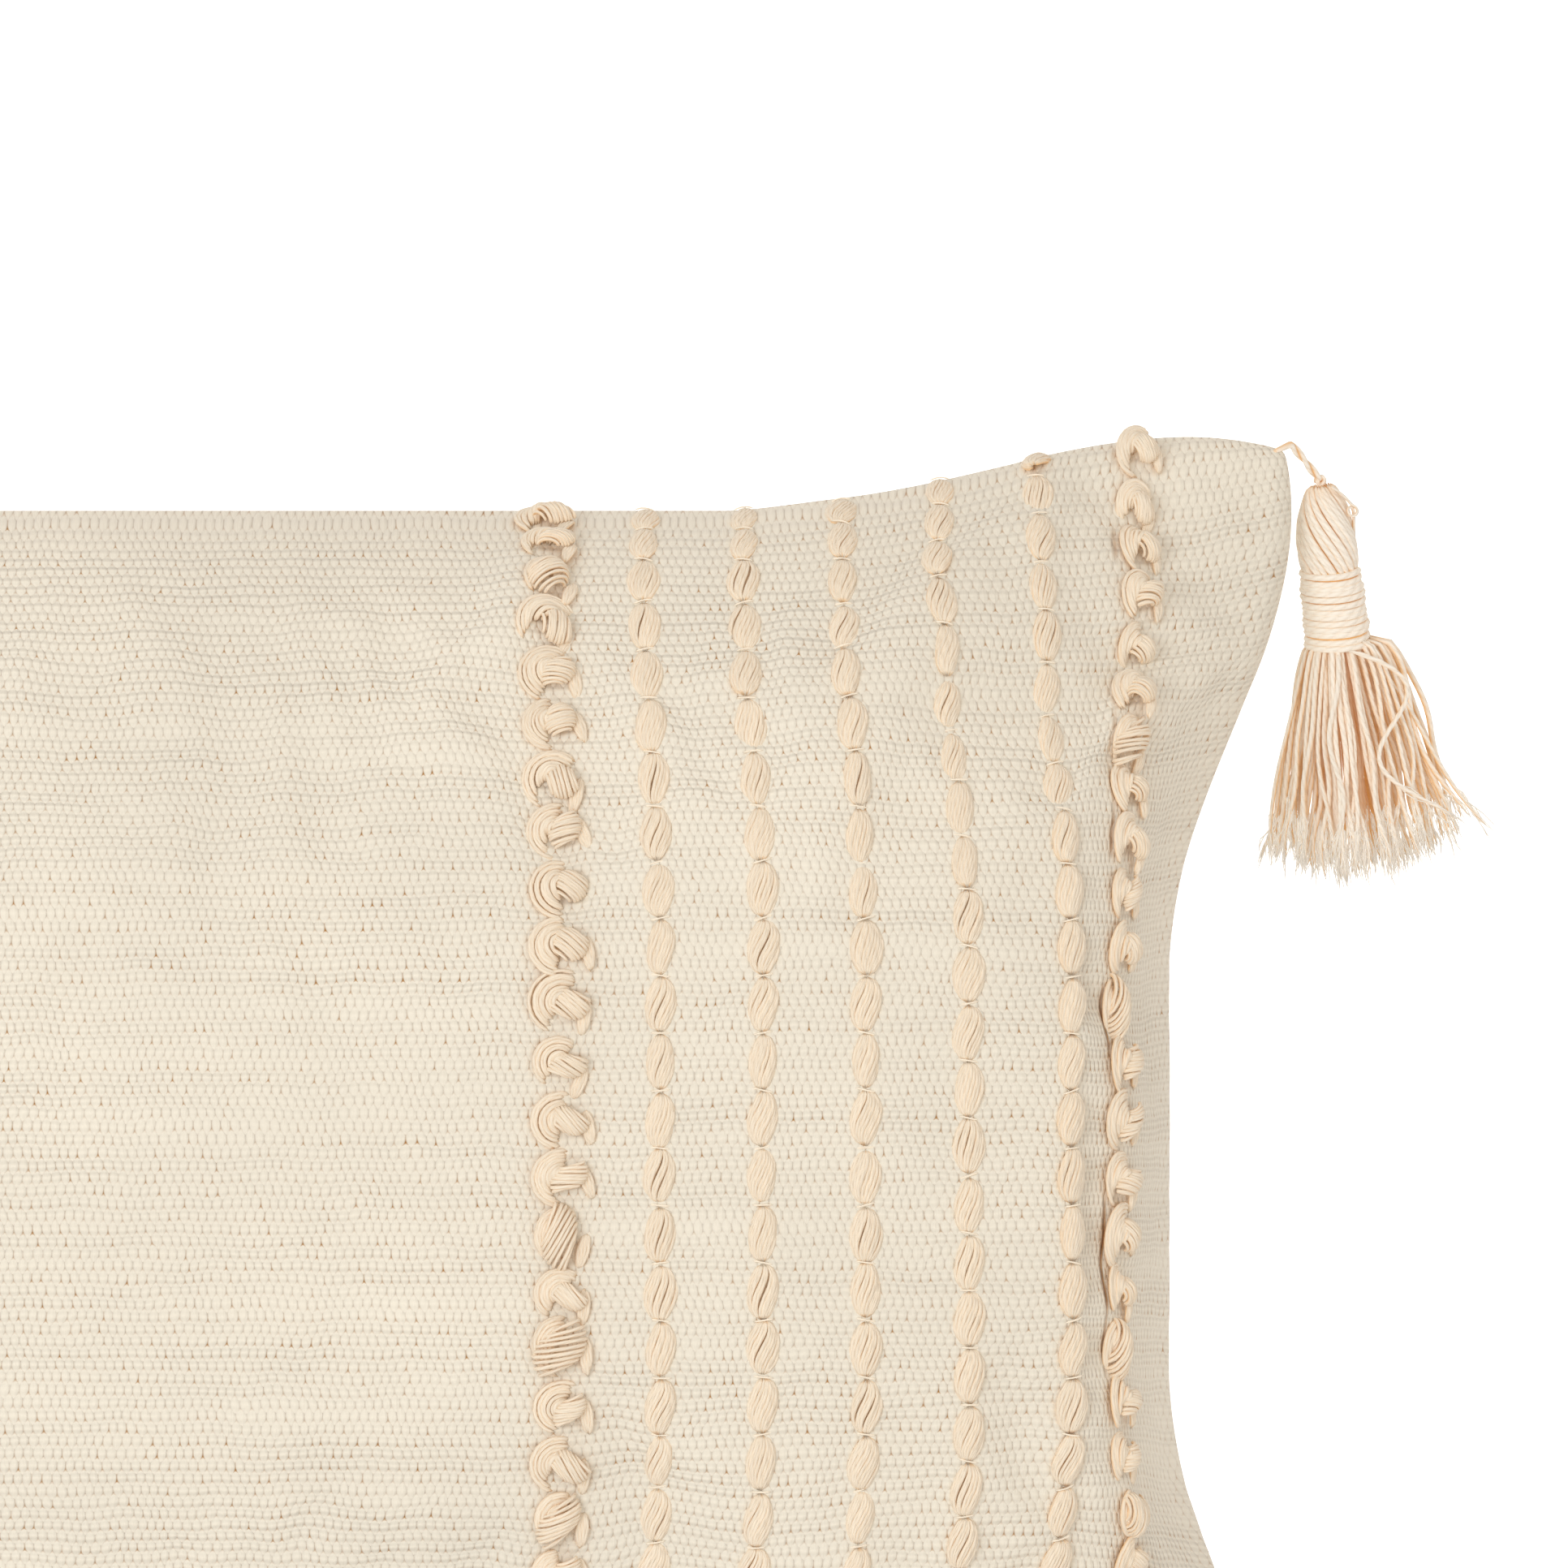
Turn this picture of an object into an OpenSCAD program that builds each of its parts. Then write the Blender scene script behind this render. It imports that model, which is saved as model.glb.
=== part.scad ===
// Throw pillow in woven cotton, with rows of tufted yarn and a tassel at each corner.
// It lies on its back: +X runs along its length, +Y across it, and +Z comes out of its front.
// The origin is the middle of the flat patch that it rests on.

/* [Pillow] */
// Length from ear to ear, along X
pillow_l = 592; // [480:1:720]
// Width from ear to ear, along Y
pillow_w = 362; // [300:1:440]
// Height of the seam above the surface, at the middle of each side
seam_h = 62; // [52:1:76]
// How far the seam sinks from there to a corner
ear_sink = 34; // [20:1:40]
// How far the front swells above the seam
front_swell = 70; // [56:1:84]
// How much further the back would swell if the surface did not flatten it
back_press = 6; // [3:0.5:10]
// How far the short sides pull in between their corners
side_pull = 30; // [10:1:40]
// Length of the straight stretch in the middle of a short side
side_straight = 100; // [60:1:120]
// How far the long edges pull in between their corners
edge_pull = 18; // [5:1:26]
// Length of the straight stretch in the middle of a long edge, which the zip and its margins may lengthen
edge_straight = 330; // [326:1:360]
// Length of an ear, from the corner to where the pull begins
ear_l = 15; // [8:1:24]
// How far the rounded corner falls short of a sharp one
corner_cut = 5; // [2:0.5:7]
// How much longer the cloth is than the pillow, on each side of the middle
cloth_slack = 9; // [0:0.5:12]

/* [Cloth] */
// Thickness of the woven cover
cover_t = 2.2; // [1.2:0.1:2.6]
// Width of the cloth turned in along a seam
turning_w = 9; // [6:0.5:10]
// Thickness of each turned in layer
turning_t = 0.9; // [0.5:0.1:1]
// Thickness of the inner cushion's casing
casing_t = 1; // [0.6:0.1:1.4]
// Room between the cover and the casing
casing_room = 1.5; // [1:0.1:2]
// Room between what is turned in and the casing's seam
seam_room = 1.5; // [1:0.1:4]

/* [Yarn rows] */
// Distance from the side seam to the outer row of loops, along the cloth
row_inset = 40; // [36:1:50]
// Distance between neighbouring rows
row_pitch = 25; // [20:1:30]
// Distance between stitches along a row, and between loops
stitch_pitch = 14; // [12:0.5:16]
// Gap between two flat stitches of a row
stitch_gap = 1.4; // [1:0.1:3]
// Width of a flat stitch
stitch_w = 6.4; // [4:0.1:8]
// Gap between two curled loops of a row
loop_gap = 0.6; // [0.4:0.1:2]
// Thickness of the curled yarn
loop_yarn = 4.4; // [3:0.1:5]
// How deep the yarn sits in the cover
yarn_sunk = 0.8; // [0.4:0.1:1]

/* [Tassels] */
// Length of the cord that it hangs from
cord_l = 14; // [10:0.5:16]
// How far the cord leans outward
cord_lean = 40; // [32:1:60]
// How steeply the cord drops from the corner
cord_drop = 35; // [20:1:45]
// Thickness of the cord, which is two strands twisted together
cord_d = 2; // [1.6:0.1:2.2]
// Length of the folded head
head_l = 21; // [16:0.5:26]
// Width of the head
head_w = 15; // [12:0.5:18]
// Length of the wound neck
wrap_l = 19; // [14:0.5:24]
// Diameter of the neck at its narrow end
wrap_d = 14; // [12:0.5:15]
// Diameter of the thread wound round the neck
wrap_thread = 1.5; // [1:0.1:1.6]
// Length of the skirt
skirt_l = 56; // [40:1:64]
// Width of the skirt at its open end
skirt_w = 50; // [36:1:54]
// Height of the skirt as it lies
skirt_h = 20; // [16:1:24]
// How far the top tassels lean outward
top_lean = 6.5; // [6:0.5:14]
// How far the bottom tassels lean outward
bottom_lean = 20; // [8:1:40]

/* [Zip] */
// Length that the slider can travel
zip_travel = 290; // [200:1:350]
// Straight seam to keep beyond each end of the zip
zip_margin = 9; // [8:1:20]
// Width of the slit between the two edges of cloth
zip_slit = 1.6; // [1.5:0.05:2]
// Radius of a coil
coil_r = 0.9; // [0.8:0.05:1]
// Width of a tape
tape_w = 11; // [8:0.5:12]
// Thickness of a tape
tape_t = 0.6; // [0.4:0.1:0.6]
// Length of the slider
slider_l = 11; // [9:0.5:13]
// Thickness of the slider's plates
slider_t = 1; // [0.8:0.1:1.2]
// Length of the pull
pull_l = 24; // [18:0.5:30]
// Room between the seam's inner face and the slider
slider_in = 1.2; // [1:0.1:1.6]
// Running clearance of the pull's pin
pin_clear = 0.08; // [0.05:0.01:0.1]

/* [Label] */
// Width of the blank care label
label_w = 24; // [16:1:30]
// Length that hangs out of the seam
label_l = 36; // [24:1:40]
// Thickness of the label
label_t = 0.5; // [0.3:0.1:0.6]
// Distance from the end of the zip to the label
label_off = 30; // [20:1:40]

/* [Hidden] */
$fn = 48;
cream = "#efe4d2";
yarn = "#ecdcc3";
lining = "#f3efe6";
fill_white = "#f7f5f0";
zip_cream = "#e8dcc6";
metal = "#b9b4aa";
label_white = "#f4f1ea";
SIDES = ["left", "right"];
CORNERS = ["top_left", "top_right", "bottom_left", "bottom_right"];
PIECES = ["cord", "head", "wrap", "skirt"];
ROWS = 5; // rows of flat stitches on each side
air = 0.3; // clearance between pieces that move past each other
cells_u = 28; // facets along the cover
cells_v = 20; // facets across the cover
casing_u = 20;
casing_v = 14;
half_l = pillow_l / 2;
half_w = pillow_w / 2;
zip_half = zip_travel / 2 + slider_l;
edge_flat = max(edge_straight / 2, zip_half + zip_margin);
stitch_l = stitch_pitch - stitch_gap;
loop_w = stitch_pitch - loop_gap;
cloth_half = half_l + cloth_slack;
outer_row = cloth_half - row_inset;
back_swell = seam_h + back_press;
shoulder = 0.78; // share of the length at which the pull of a short side sets in

// ---- the pillow's surfaces ----
// 0 along the straight stretch of an edge, rising to 1 where the ear begins.
function rise(at, straight, ear) =
    let (part = min(max((abs(at) - straight) / (ear - straight), 0), 1)) pow(sin(90 * part), 2);
function edge_rise(x) = rise(x, edge_flat, half_l - ear_l);
function side_rise(y) = rise(y, side_straight / 2, half_w - ear_l);

// The cloth turns down at a shoulder near each short side, and the pull of the side grows from there.
function pull_share(u) = pow(max(abs(u) - shoulder, 0) / (1 - shoulder), 1.2);

// Place in the plan of the point at (u, v), each from -1 to 1, of an outline that is inset.
// u is the share of the cloth's own length, so the cloth lies slack beside the pulled in middle.
function plan(u, v, inset) =
    let (x = u * (half_l - inset), y = v * (half_w - inset),
         pulled = 1 - side_rise(y), cut = corner_cut * pow(abs(u * v), 18))
    [x + pulled * (cloth_slack * u - sign(u) * (side_pull + cloth_slack) * pull_share(u)) - sign(u) * cut / 2,
     y - sign(v) * (edge_pull * (1 - edge_rise(x)) * pow(abs(v), 3) + cut)];

// Height of the seam's surface there.
function seam_z(u, v, inset = 0) =
    seam_h - ear_sink * edge_rise(u * (half_l - inset)) * side_rise(v * (half_w - inset));

// Share of the full swell: boxy along the pillow, elliptical across it.
function swell(u, v) = pow(max(1 - pow(abs(u), 4), 0), 0.6) * pow(max(1 - pow(abs(v), 2.2), 0), 0.5);

// A point of the front (side 1) or of the back (side -1), inset in the plan and in its swell.
function skin(u, v, side, inset, thin) =
    let (xy = plan(u, v, inset), z = seam_z(u, v, inset), part = swell(u, v))
    [xy[0], xy[1], side > 0 ? z + (front_swell - thin) * part : max(thin, z - (back_swell - thin) * part)];

// Positions from -1 to 1 that crowd towards both ends.
function spread(n) = [for (i = [0:n]) sin(90 * (2 * i / n - 1))];

// The two edges of cloth part along the zip, in every cell that it touches.
function lip(i, j, n) =
    j == 0 && abs(spread(n)[i + sign(n / 2 - i)]) * half_l < zip_half ? zip_slit / 2 : 0;

function layer(nu, nv, side, inset, thin, slit) =
    let (us = spread(nu), vs = spread(nv))
    [for (j = [0:nv]) for (i = [0:nu])
        skin(us[i], vs[j], side, inset, thin) + [0, 0, slit ? side * lip(i, j, nu) : 0]];

// Triangles of a layer that faces up, with its points numbered from first.
// Every cell is cut along the diagonal that runs towards the middle of the layer.
function facing_up(nu, nv, first) =
    [for (j = [0:nv - 1]) for (i = [0:nu - 1])
        let (a = first + j * (nu + 1) + i, d = a + nu + 1)
        each (i < nu / 2) == (j < nv / 2) ? [[a, d, d + 1], [a, d + 1, a + 1]] : [[a, d, a + 1], [a + 1, d, d + 1]]];
function turned(faces) = [for (f = faces) [f[2], f[1], f[0]]];

// The border of a layer, counter-clockwise from above.
function border(nu, nv) = concat(
    [for (i = [0:nu - 1]) i], [for (j = [0:nv - 1]) j * (nu + 1) + nu],
    [for (i = [nu:-1:1]) nv * (nu + 1) + i], [for (j = [nv:-1:1]) j * (nu + 1)]);
function rim(nu, nv) =
    let (ring = border(nu, nv), n = len(ring), inner = (nu + 1) * (nv + 1))
    [for (k = [0:n - 1]) let (a = ring[k], b = ring[(k + 1) % n])
        each [[a, b, b + inner], [a, b + inner, a + inner]]];

// Half a cover or casing: an outer layer, an inner layer and the rim that meets the other half.
module half_shell(nu, nv, side, inset, thin, wall, slit) {
    outer = facing_up(nu, nv, 0);
    inner = facing_up(nu, nv, (nu + 1) * (nv + 1));
    faces = concat(outer, turned(inner), rim(nu, nv));
    polyhedron(
        concat(layer(nu, nv, side, inset, thin, slit), layer(nu, nv, side, inset + wall, thin + wall, slit)),
        side > 0 ? faces : turned(faces));
}

// A closed form between a front layer and a back layer that share their border.
module filled(nu, nv, inset, thin) {
    count = (nu + 1) * (nv + 1);
    back = [for (f = turned(facing_up(nu, nv, 0))) [for (k = f)
        let (i = k % (nu + 1), j = floor(k / (nu + 1)))
        i == 0 || j == 0 || i == nu || j == nv ? k : k + count]];
    polyhedron(
        concat(layer(nu, nv, 1, inset, thin, false), layer(nu, nv, -1, inset, thin, false)),
        concat(facing_up(nu, nv, 0), back));
}

// ---- cover ----
module front_panel() {
    color(cream) half_shell(cells_u, cells_v, 1, 0, 0, cover_t, true);
}

module back_panel() {
    color(cream) half_shell(cells_u, cells_v, -1, 0, 0, cover_t, true);
}

turning_gap = 0.8;

// A strip of turned in cloth that follows the seam between two places on it.
// Each place is [u, v]; the strip lies half above and half below the seam's surface.
module turning(places) {
    near = cover_t + turning_gap;
    points = [for (p = places) for (in = [near, near + turning_w]) for (up = [turning_t, -turning_t])
        let (xy = plan(p[0], p[1], in)) [xy[0], xy[1], seam_z(p[0], p[1], in) + up]];
    n = len(places);
    sides = [for (i = [0:n - 2]) let (a = 4 * i, b = a + 4) each [
        [a, b, b + 2, a + 2], [a + 2, b + 2, b + 3, a + 3],
        [a + 3, b + 3, b + 1, a + 1], [a + 1, b + 1, b, a]]];
    ends = [[0, 2, 3, 1], [4 * n - 4, 4 * n - 3, 4 * n - 1, 4 * n - 2]];
    polyhedron(points, concat(sides, ends));
}

module seam_turning() {
    side_end = 0.82; // the strips stop short of the corners, where the cloth is trimmed away
    edge_end = 0.88;
    zip_end = (zip_half + 6) / half_l;
    steps = 10;
    color(cream) {
        turning([for (i = [0:2 * steps]) [edge_end * (i / steps - 1), 1]]);
        turning([for (i = [0:steps]) [-zip_end - (edge_end - zip_end) * i / steps, -1]]);
        turning([for (i = [0:steps]) [edge_end - (edge_end - zip_end) * i / steps, -1]]);
        turning([for (i = [0:2 * steps]) [1, side_end * (1 - i / steps)]]);
        turning([for (i = [0:2 * steps]) [-1, side_end * (i / steps - 1)]]);
    }
}

// ---- inner cushion ----
casing_thin = cover_t + casing_room;
casing_inset = cover_t + max(turning_gap + turning_w, slider_in + slider_t + air + tape_w) + seam_room;

module casing_front() {
    color(lining) half_shell(casing_u, casing_v, 1, casing_inset, casing_thin, casing_t, false);
}

module casing_back() {
    color(lining) half_shell(casing_u, casing_v, -1, casing_inset, casing_thin, casing_t, false);
}

module fibre_fill() {
    gap = 0.2;
    color(fill_white) filled(casing_u, casing_v, casing_inset + casing_t + gap, casing_thin + casing_t + gap);
}

// ---- yarn rows ----
// Puts its children on the front with Z out of the cloth and Y along the row.
module on_front(u, v) {
    step = 0.01;
    at = skin(u, v, 1, 0, 0);
    along = skin(u, v + step, 1, 0, 0) - skin(u, v - step, 1, 0, 0);
    across = skin(u + step, v, 1, 0, 0) - skin(u - step, v, 1, 0, 0);
    out = cross(across, along) / norm(cross(across, along));
    y = along / norm(along);
    x = cross(y, out);
    multmatrix([
        [x[0], y[0], out[0], at[0]],
        [x[1], y[1], out[1], at[1]],
        [x[2], y[2], out[2], at[2]]]) children();
}

// Length of cloth along a row from one long edge, at each share v, as [length, v].
row_cuts = 60;
function row_cloth(u) =
    let (vs = spread(row_cuts), at = [for (v = vs) skin(u, v, 1, 0, 0)])
    [for (i = 0, run = 0; i <= row_cuts;
        run = run + (i < row_cuts ? norm(at[i + 1] - at[i]) : 0), i = i + 1) [run, vs[i]]];

// Puts its children at each stitch of the row that is dist from the middle, along the cloth.
module yarn_row(dist, side) {
    u = side * dist / cloth_half;
    cloth = row_cloth(u);
    run = cloth[row_cuts][0];
    count = floor(run / stitch_pitch);
    for (k = [0:count - 1])
        on_front(u, lookup(run / 2 + (k - (count - 1) / 2) * stitch_pitch, cloth)) children();
}

module loops(dist, side) {
    major = (loop_w - loop_yarn) / 2;
    color(yarn) yarn_row(dist, side)
        translate([0, 0, loop_yarn / 2 - yarn_sunk]) rotate_extrude() translate([major, 0]) circle(d = loop_yarn);
}

module stitches(dist, side) {
    r = stitch_w / 2;
    tip = r * 0.35;
    color(yarn) yarn_row(dist, side)
        translate([0, 0, r - yarn_sunk]) rotate([90, 0, 0]) rotate_extrude() polygon([
            [0, -stitch_l / 2], [tip, -stitch_l / 2], [r, -stitch_l / 5],
            [r, stitch_l / 5], [tip, stitch_l / 2], [0, stitch_l / 2]]);
}

// ---- tassels ----
// Each tassel hangs on a cord, between a knot just off the tip of its corner and a knot at its head.
knot_r = 1.5;
eye_knot_r = 1.3;
pivot_off = knot_r + air;
head_at = eye_knot_r + air;

function corner_x(k) = k % 2 == 0 ? -1 : 1;
function corner_y(k) = k < 2 ? 1 : -1;
function pivot(k) =
    let (tip = skin(corner_x(k), corner_y(k), 1, 0, 0))
    [tip[0] + corner_x(k) * pivot_off * 0.7, tip[1] + corner_y(k) * pivot_off * 0.7, tip[2]];

// Unit vector that leans outward from -Y and slopes down.
function heading(k, lean, down) =
    [corner_x(k) * sin(lean) * cos(down), -cos(lean) * cos(down), -sin(down)];
function hang_point(k) = pivot(k) + cord_l * heading(k, cord_lean, cord_drop);

// The tassel slopes from its cord down to the surface that its skirt lies on.
tassel_l = head_at + head_l + wrap_l + skirt_l;
slope = asin((hang_point(0)[2] - skirt_h / 2) / tassel_l);

// Puts its children at a point with X along a heading.
module aimed(at, k, lean, down) {
    translate(at) rotate([0, 0, corner_x(k) * lean - 90]) rotate([0, down, 0]) children();
}
module on_tassel(k) {
    aimed(hang_point(k), k, k < 2 ? top_lean : bottom_lean, slope) children();
}

module tassel_cord(k) {
    color(yarn) aimed(pivot(k), k, cord_lean, cord_drop) rotate([0, 90, 0]) rotate_extrude() intersection() {
        union() {
            circle(knot_r);
            translate([0, cord_l]) circle(eye_knot_r);
            square([cord_d / 2, cord_l]);
        }
        translate([0, -knot_r]) square([knot_r, cord_l + knot_r + eye_knot_r]);
    }
}

// The head is a barrel, rounded in towards the cord and wider where it meets the neck.
module tassel_head(k) {
    r = head_w / 2;
    widest = 0.6 * head_l;
    drop = r * 2 / 3;
    arc = (pow(widest, 2) + pow(drop, 2)) / (2 * drop);
    color(yarn) on_tassel(k) translate([head_at, 0, 0]) rotate([0, 90, 0]) rotate_extrude()
        intersection() {
            translate([r - arc, widest]) circle(arc, $fn = 96);
            square([r, head_l]);
        }
}

module tassel_wrap(k) {
    turns = floor(wrap_l / wrap_thread);
    pitch = wrap_l / turns;
    color(yarn) on_tassel(k) translate([head_at + head_l, 0, 0]) rotate([0, 90, 0]) rotate_extrude()
        union() {
            polygon([[0, 0], [wrap_d / 2, 0], [wrap_d / 2 + 1, wrap_l], [0, wrap_l]]);
            for (i = [0:turns - 1])
                translate([wrap_d / 2 + (i + 0.5) / turns, (i + 0.5) * pitch]) circle(d = wrap_thread * 0.9);
        }
}

// The skirt fans out as it lies, from the round neck to a wide flat end.
module tassel_skirt(k) {
    sides = 24;
    stops = [0, 0.1, 0.25, 0.5, 0.75, 1];
    start = head_at + head_l + wrap_l;
    points = [for (s = stops) for (i = [0:sides - 1])
        let (wide = wrap_d / 2 + (skirt_w - wrap_d) / 2 * pow(s, 0.75),
             tall = wrap_d / 2 + (skirt_h - wrap_d) / 2 * pow(s, 0.75))
        [start + s * skirt_l, wide * cos(360 * i / sides), tall * sin(360 * i / sides)]];
    walls = [for (r = [0:len(stops) - 2]) for (i = [0:sides - 1])
        let (a = r * sides + i, b = r * sides + (i + 1) % sides) [a, b, b + sides, a + sides]];
    first = [for (i = [0:sides - 1]) i];
    last = [for (i = [sides - 1:-1:0]) (len(stops) - 1) * sides + i];
    color(yarn) on_tassel(k) polyhedron(points, concat([for (f = walls) each [
        [f[0], f[2], f[1]], [f[0], f[3], f[2]]]], [first], [last]), convexity = 4);
}

// ---- zip, concealed in the bottom seam ----
zip_edge = -(half_w - edge_pull); // outer face of the seam along the zip
zip_in = zip_edge + cover_t; // its inner face
coil_y = zip_in + slider_in + slider_t + air + coil_r;
tape_z = 2 * coil_r;
closed_x = zip_travel / 2;
eye_r = 2.2;
pin_r = 0.8;
ear_t = 0.8;
pull_t = 1.2;
neck_t = zip_slit - 2 * air;
hinge_y = zip_edge - eye_r - air;

// A length of the zip's own section, in Y and Z about the seam, run along X.
module zip_run(from, to) {
    translate([from, 0, seam_h]) rotate([90, 0, 90]) linear_extrude(to - from) children();
}

module tape(side) {
    color(zip_cream) zip_run(-zip_half, zip_half)
        translate([coil_y - coil_r, side > 0 ? tape_z : -tape_z - tape_t]) square([tape_w, tape_t]);
}

module coil(side) {
    color(zip_cream) zip_run(-zip_half, zip_half) translate([coil_y, side * coil_r]) circle(coil_r);
}

// A stop is a clamp over both tapes at one end of the slider's travel.
module stop(x) {
    stop_l = 2;
    reach = tape_z + tape_t + slider_t;
    color(metal) zip_run(x - stop_l / 2, x + stop_l / 2) difference() {
        translate([zip_in + slider_in, -reach]) square([slider_t + air + 2 * coil_r, 2 * reach]);
        translate([coil_y - coil_r, slider_t - reach]) square([tape_w, 2 * (reach - slider_t)]);
    }
}

// The slider holds both tapes between its plates, and its neck comes out through the slit.
module zip_slider() {
    reach = tape_z + tape_t + air;
    depth = slider_t + 2 * air + 2 * coil_r + 2;
    neck_w = 2 * (eye_r - air);
    back = zip_in + slider_in;
    color(metal) {
        zip_run(closed_x - slider_l / 2, closed_x + slider_l / 2) difference() {
            translate([back, -reach - slider_t]) square([depth, 2 * (reach + slider_t)]);
            translate([back + slider_t, -reach]) square([depth, 2 * reach]);
        }
        translate([closed_x, hinge_y, seam_h - neck_t / 2]) difference() {
            union() {
                translate([-neck_w / 2, 0, 0]) cube([neck_w, back + slider_t / 2 - hinge_y, neck_t]);
                cylinder(r = eye_r, h = neck_t);
            }
            translate([0, 0, -1]) cylinder(r = pin_r + pin_clear, h = neck_t + 2);
        }
    }
}

// The pull turns on a pin through the eye of the neck. At rest it lies back along the zip.
module zip_pull() {
    inside = neck_t / 2 + air;
    outside = inside + ear_t;
    reach = eye_r + air;
    color(metal) translate([closed_x, hinge_y, seam_h]) rotate([0, 0, 180]) {
        translate([0, 0, -outside]) cylinder(r = pin_r, h = 2 * outside);
        for (z = [-outside, inside])
            translate([0, 0, z]) linear_extrude(ear_t) union() {
                circle(eye_r - air);
                translate([0, -pull_t / 2]) square([reach + 1, pull_t]);
            }
        translate([reach, -pull_t / 2, -outside]) cube([pull_l - reach, pull_t, 2 * outside]);
    }
}

// ---- blank care label, hanging from the bottom seam beside the zip ----
module care_label() {
    far = zip_half + label_off + label_w;
    edge = [for (u = spread(cells_u)) plan(u, -1, 0)];
    color(label_white) translate([-far, lookup(-far, edge) - label_t, seam_z(-far / half_l, -1) - label_l])
        cube([label_w, label_t, label_l]);
}

ROW_NODES = [for (s = SIDES) each concat(
    [str("loop_row_", s, "_inner"), str("loop_row_", s, "_outer")],
    [for (n = [1:ROWS]) str("stitch_row_", s, "_", n)])];
TASSEL_NODES = [for (c = CORNERS) for (p = PIECES) str("tassel_", c, "_", p)];

front_panel();
back_panel();
seam_turning();
casing_front();
casing_back();
fibre_fill();
tape(1);  // zip_tape_front
tape(-1);  // zip_tape_back
coil(1);  // zip_coil_front
coil(-1);  // zip_coil_back
stop(zip_half - 2);  // zip_top_stop
stop(2 - zip_half);  // zip_bottom_stop
zip_slider();
zip_pull();
care_label();
for (s = [0, 1]) {
    loops(outer_row - (ROWS + 1) * row_pitch, 2 * s - 1);
    loops(outer_row, 2 * s - 1);
    for (n = [1:ROWS])
        stitches(outer_row - (ROWS + 1 - n) * row_pitch, 2 * s - 1);
}
for (k = [0:3]) {
    tassel_cord(k);
    tassel_head(k);
    tassel_wrap(k);
    tassel_skirt(k);
}
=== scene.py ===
"""The looks of a woven cotton throw pillow with rows of tufted yarn and a tassel at each corner."""

import math

import bmesh
import bpy
import numpy as np
from bpy.props import FloatProperty, FloatVectorProperty, IntProperty, PointerProperty
from bpy.types import Operator, Panel, PropertyGroup
from mathutils import Matrix, Vector


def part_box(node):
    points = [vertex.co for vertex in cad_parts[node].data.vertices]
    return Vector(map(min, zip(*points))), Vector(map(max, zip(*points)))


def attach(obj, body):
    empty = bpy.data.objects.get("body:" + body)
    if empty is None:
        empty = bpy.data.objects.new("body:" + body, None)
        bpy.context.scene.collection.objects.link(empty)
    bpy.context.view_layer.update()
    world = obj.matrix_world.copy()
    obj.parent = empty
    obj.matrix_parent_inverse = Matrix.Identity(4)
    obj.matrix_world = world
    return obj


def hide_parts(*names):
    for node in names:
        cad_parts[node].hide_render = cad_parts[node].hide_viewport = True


bl_info = {
    "name": "Tasselled Throw Pillow",
    "version": (1, 0, 0),
    "blender": (4, 5, 0),
    "location": "View3D > Sidebar > Pillow",
    "description": "Woven cover, tufted yarn rows, tassels, zip and label of a throw pillow",
    "category": "Add Mesh",
}

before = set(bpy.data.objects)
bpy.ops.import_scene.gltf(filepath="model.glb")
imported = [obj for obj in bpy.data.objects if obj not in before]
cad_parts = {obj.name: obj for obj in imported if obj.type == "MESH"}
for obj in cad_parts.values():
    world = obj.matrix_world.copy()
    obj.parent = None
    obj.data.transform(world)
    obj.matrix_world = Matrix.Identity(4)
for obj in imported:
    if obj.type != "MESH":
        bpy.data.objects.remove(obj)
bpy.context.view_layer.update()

MM = 0.001
CLOTH_MAP = "Cloth"  # the UV map: metres of cloth on the cover, way round and metres along on a yarn
SHADE = "shade"  # how light each yarn is, from 0 to 1
# The depth sets how much painted shade a yarn takes between its neighbours.
DEPTH = "depth"  # how far a yarn's surface turns into its bundle, from 0 to 1, or -1 on a loose fibre
BLOWING_FRAMES = 20  # frames in which the blown cloth settles
BROAD_PASSES = 60  # smoothing passes that leave only the broad part of its movement
FOLD_HEIGHT = 3.0 * MM  # the most that a fold stands out of the sewn shape
THROUGH_TUFT = 0.03  # glow of a flat tuft, which stands for light through the yarn
THROUGH_TASSEL = 0.06  # the same glow of a loose tassel yarn
CELLS_LONG = 150  # cells of about 4 mm along the cover
CELLS_WIDE = 96
SIDES = ("left", "right")
CORNERS = ("top_left", "top_right", "bottom_left", "bottom_right")
made = {}  # the finished front, for the rows that are sewn to it


def linear(code):
    """Linear colour of an sRGB hex code."""
    parts = [int(code[i:i + 2], 16) / 255 for i in (1, 3, 5)]
    return [c / 12.92 if c <= 0.04045 else ((c + 0.055) / 1.055) ** 2.4 for c in parts]


def size(name, description, millimetres, **more):
    """A length setting, given in millimetres and kept in metres."""
    return FloatProperty(name=name, description=description, default=millimetres * MM, unit="LENGTH", **more)


def colour(name, description, code):
    """A colour setting, given as an sRGB hex code."""
    return FloatVectorProperty(
        name=name, description=description, default=linear(code), subtype="COLOR", size=3, min=0, max=1)


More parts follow.
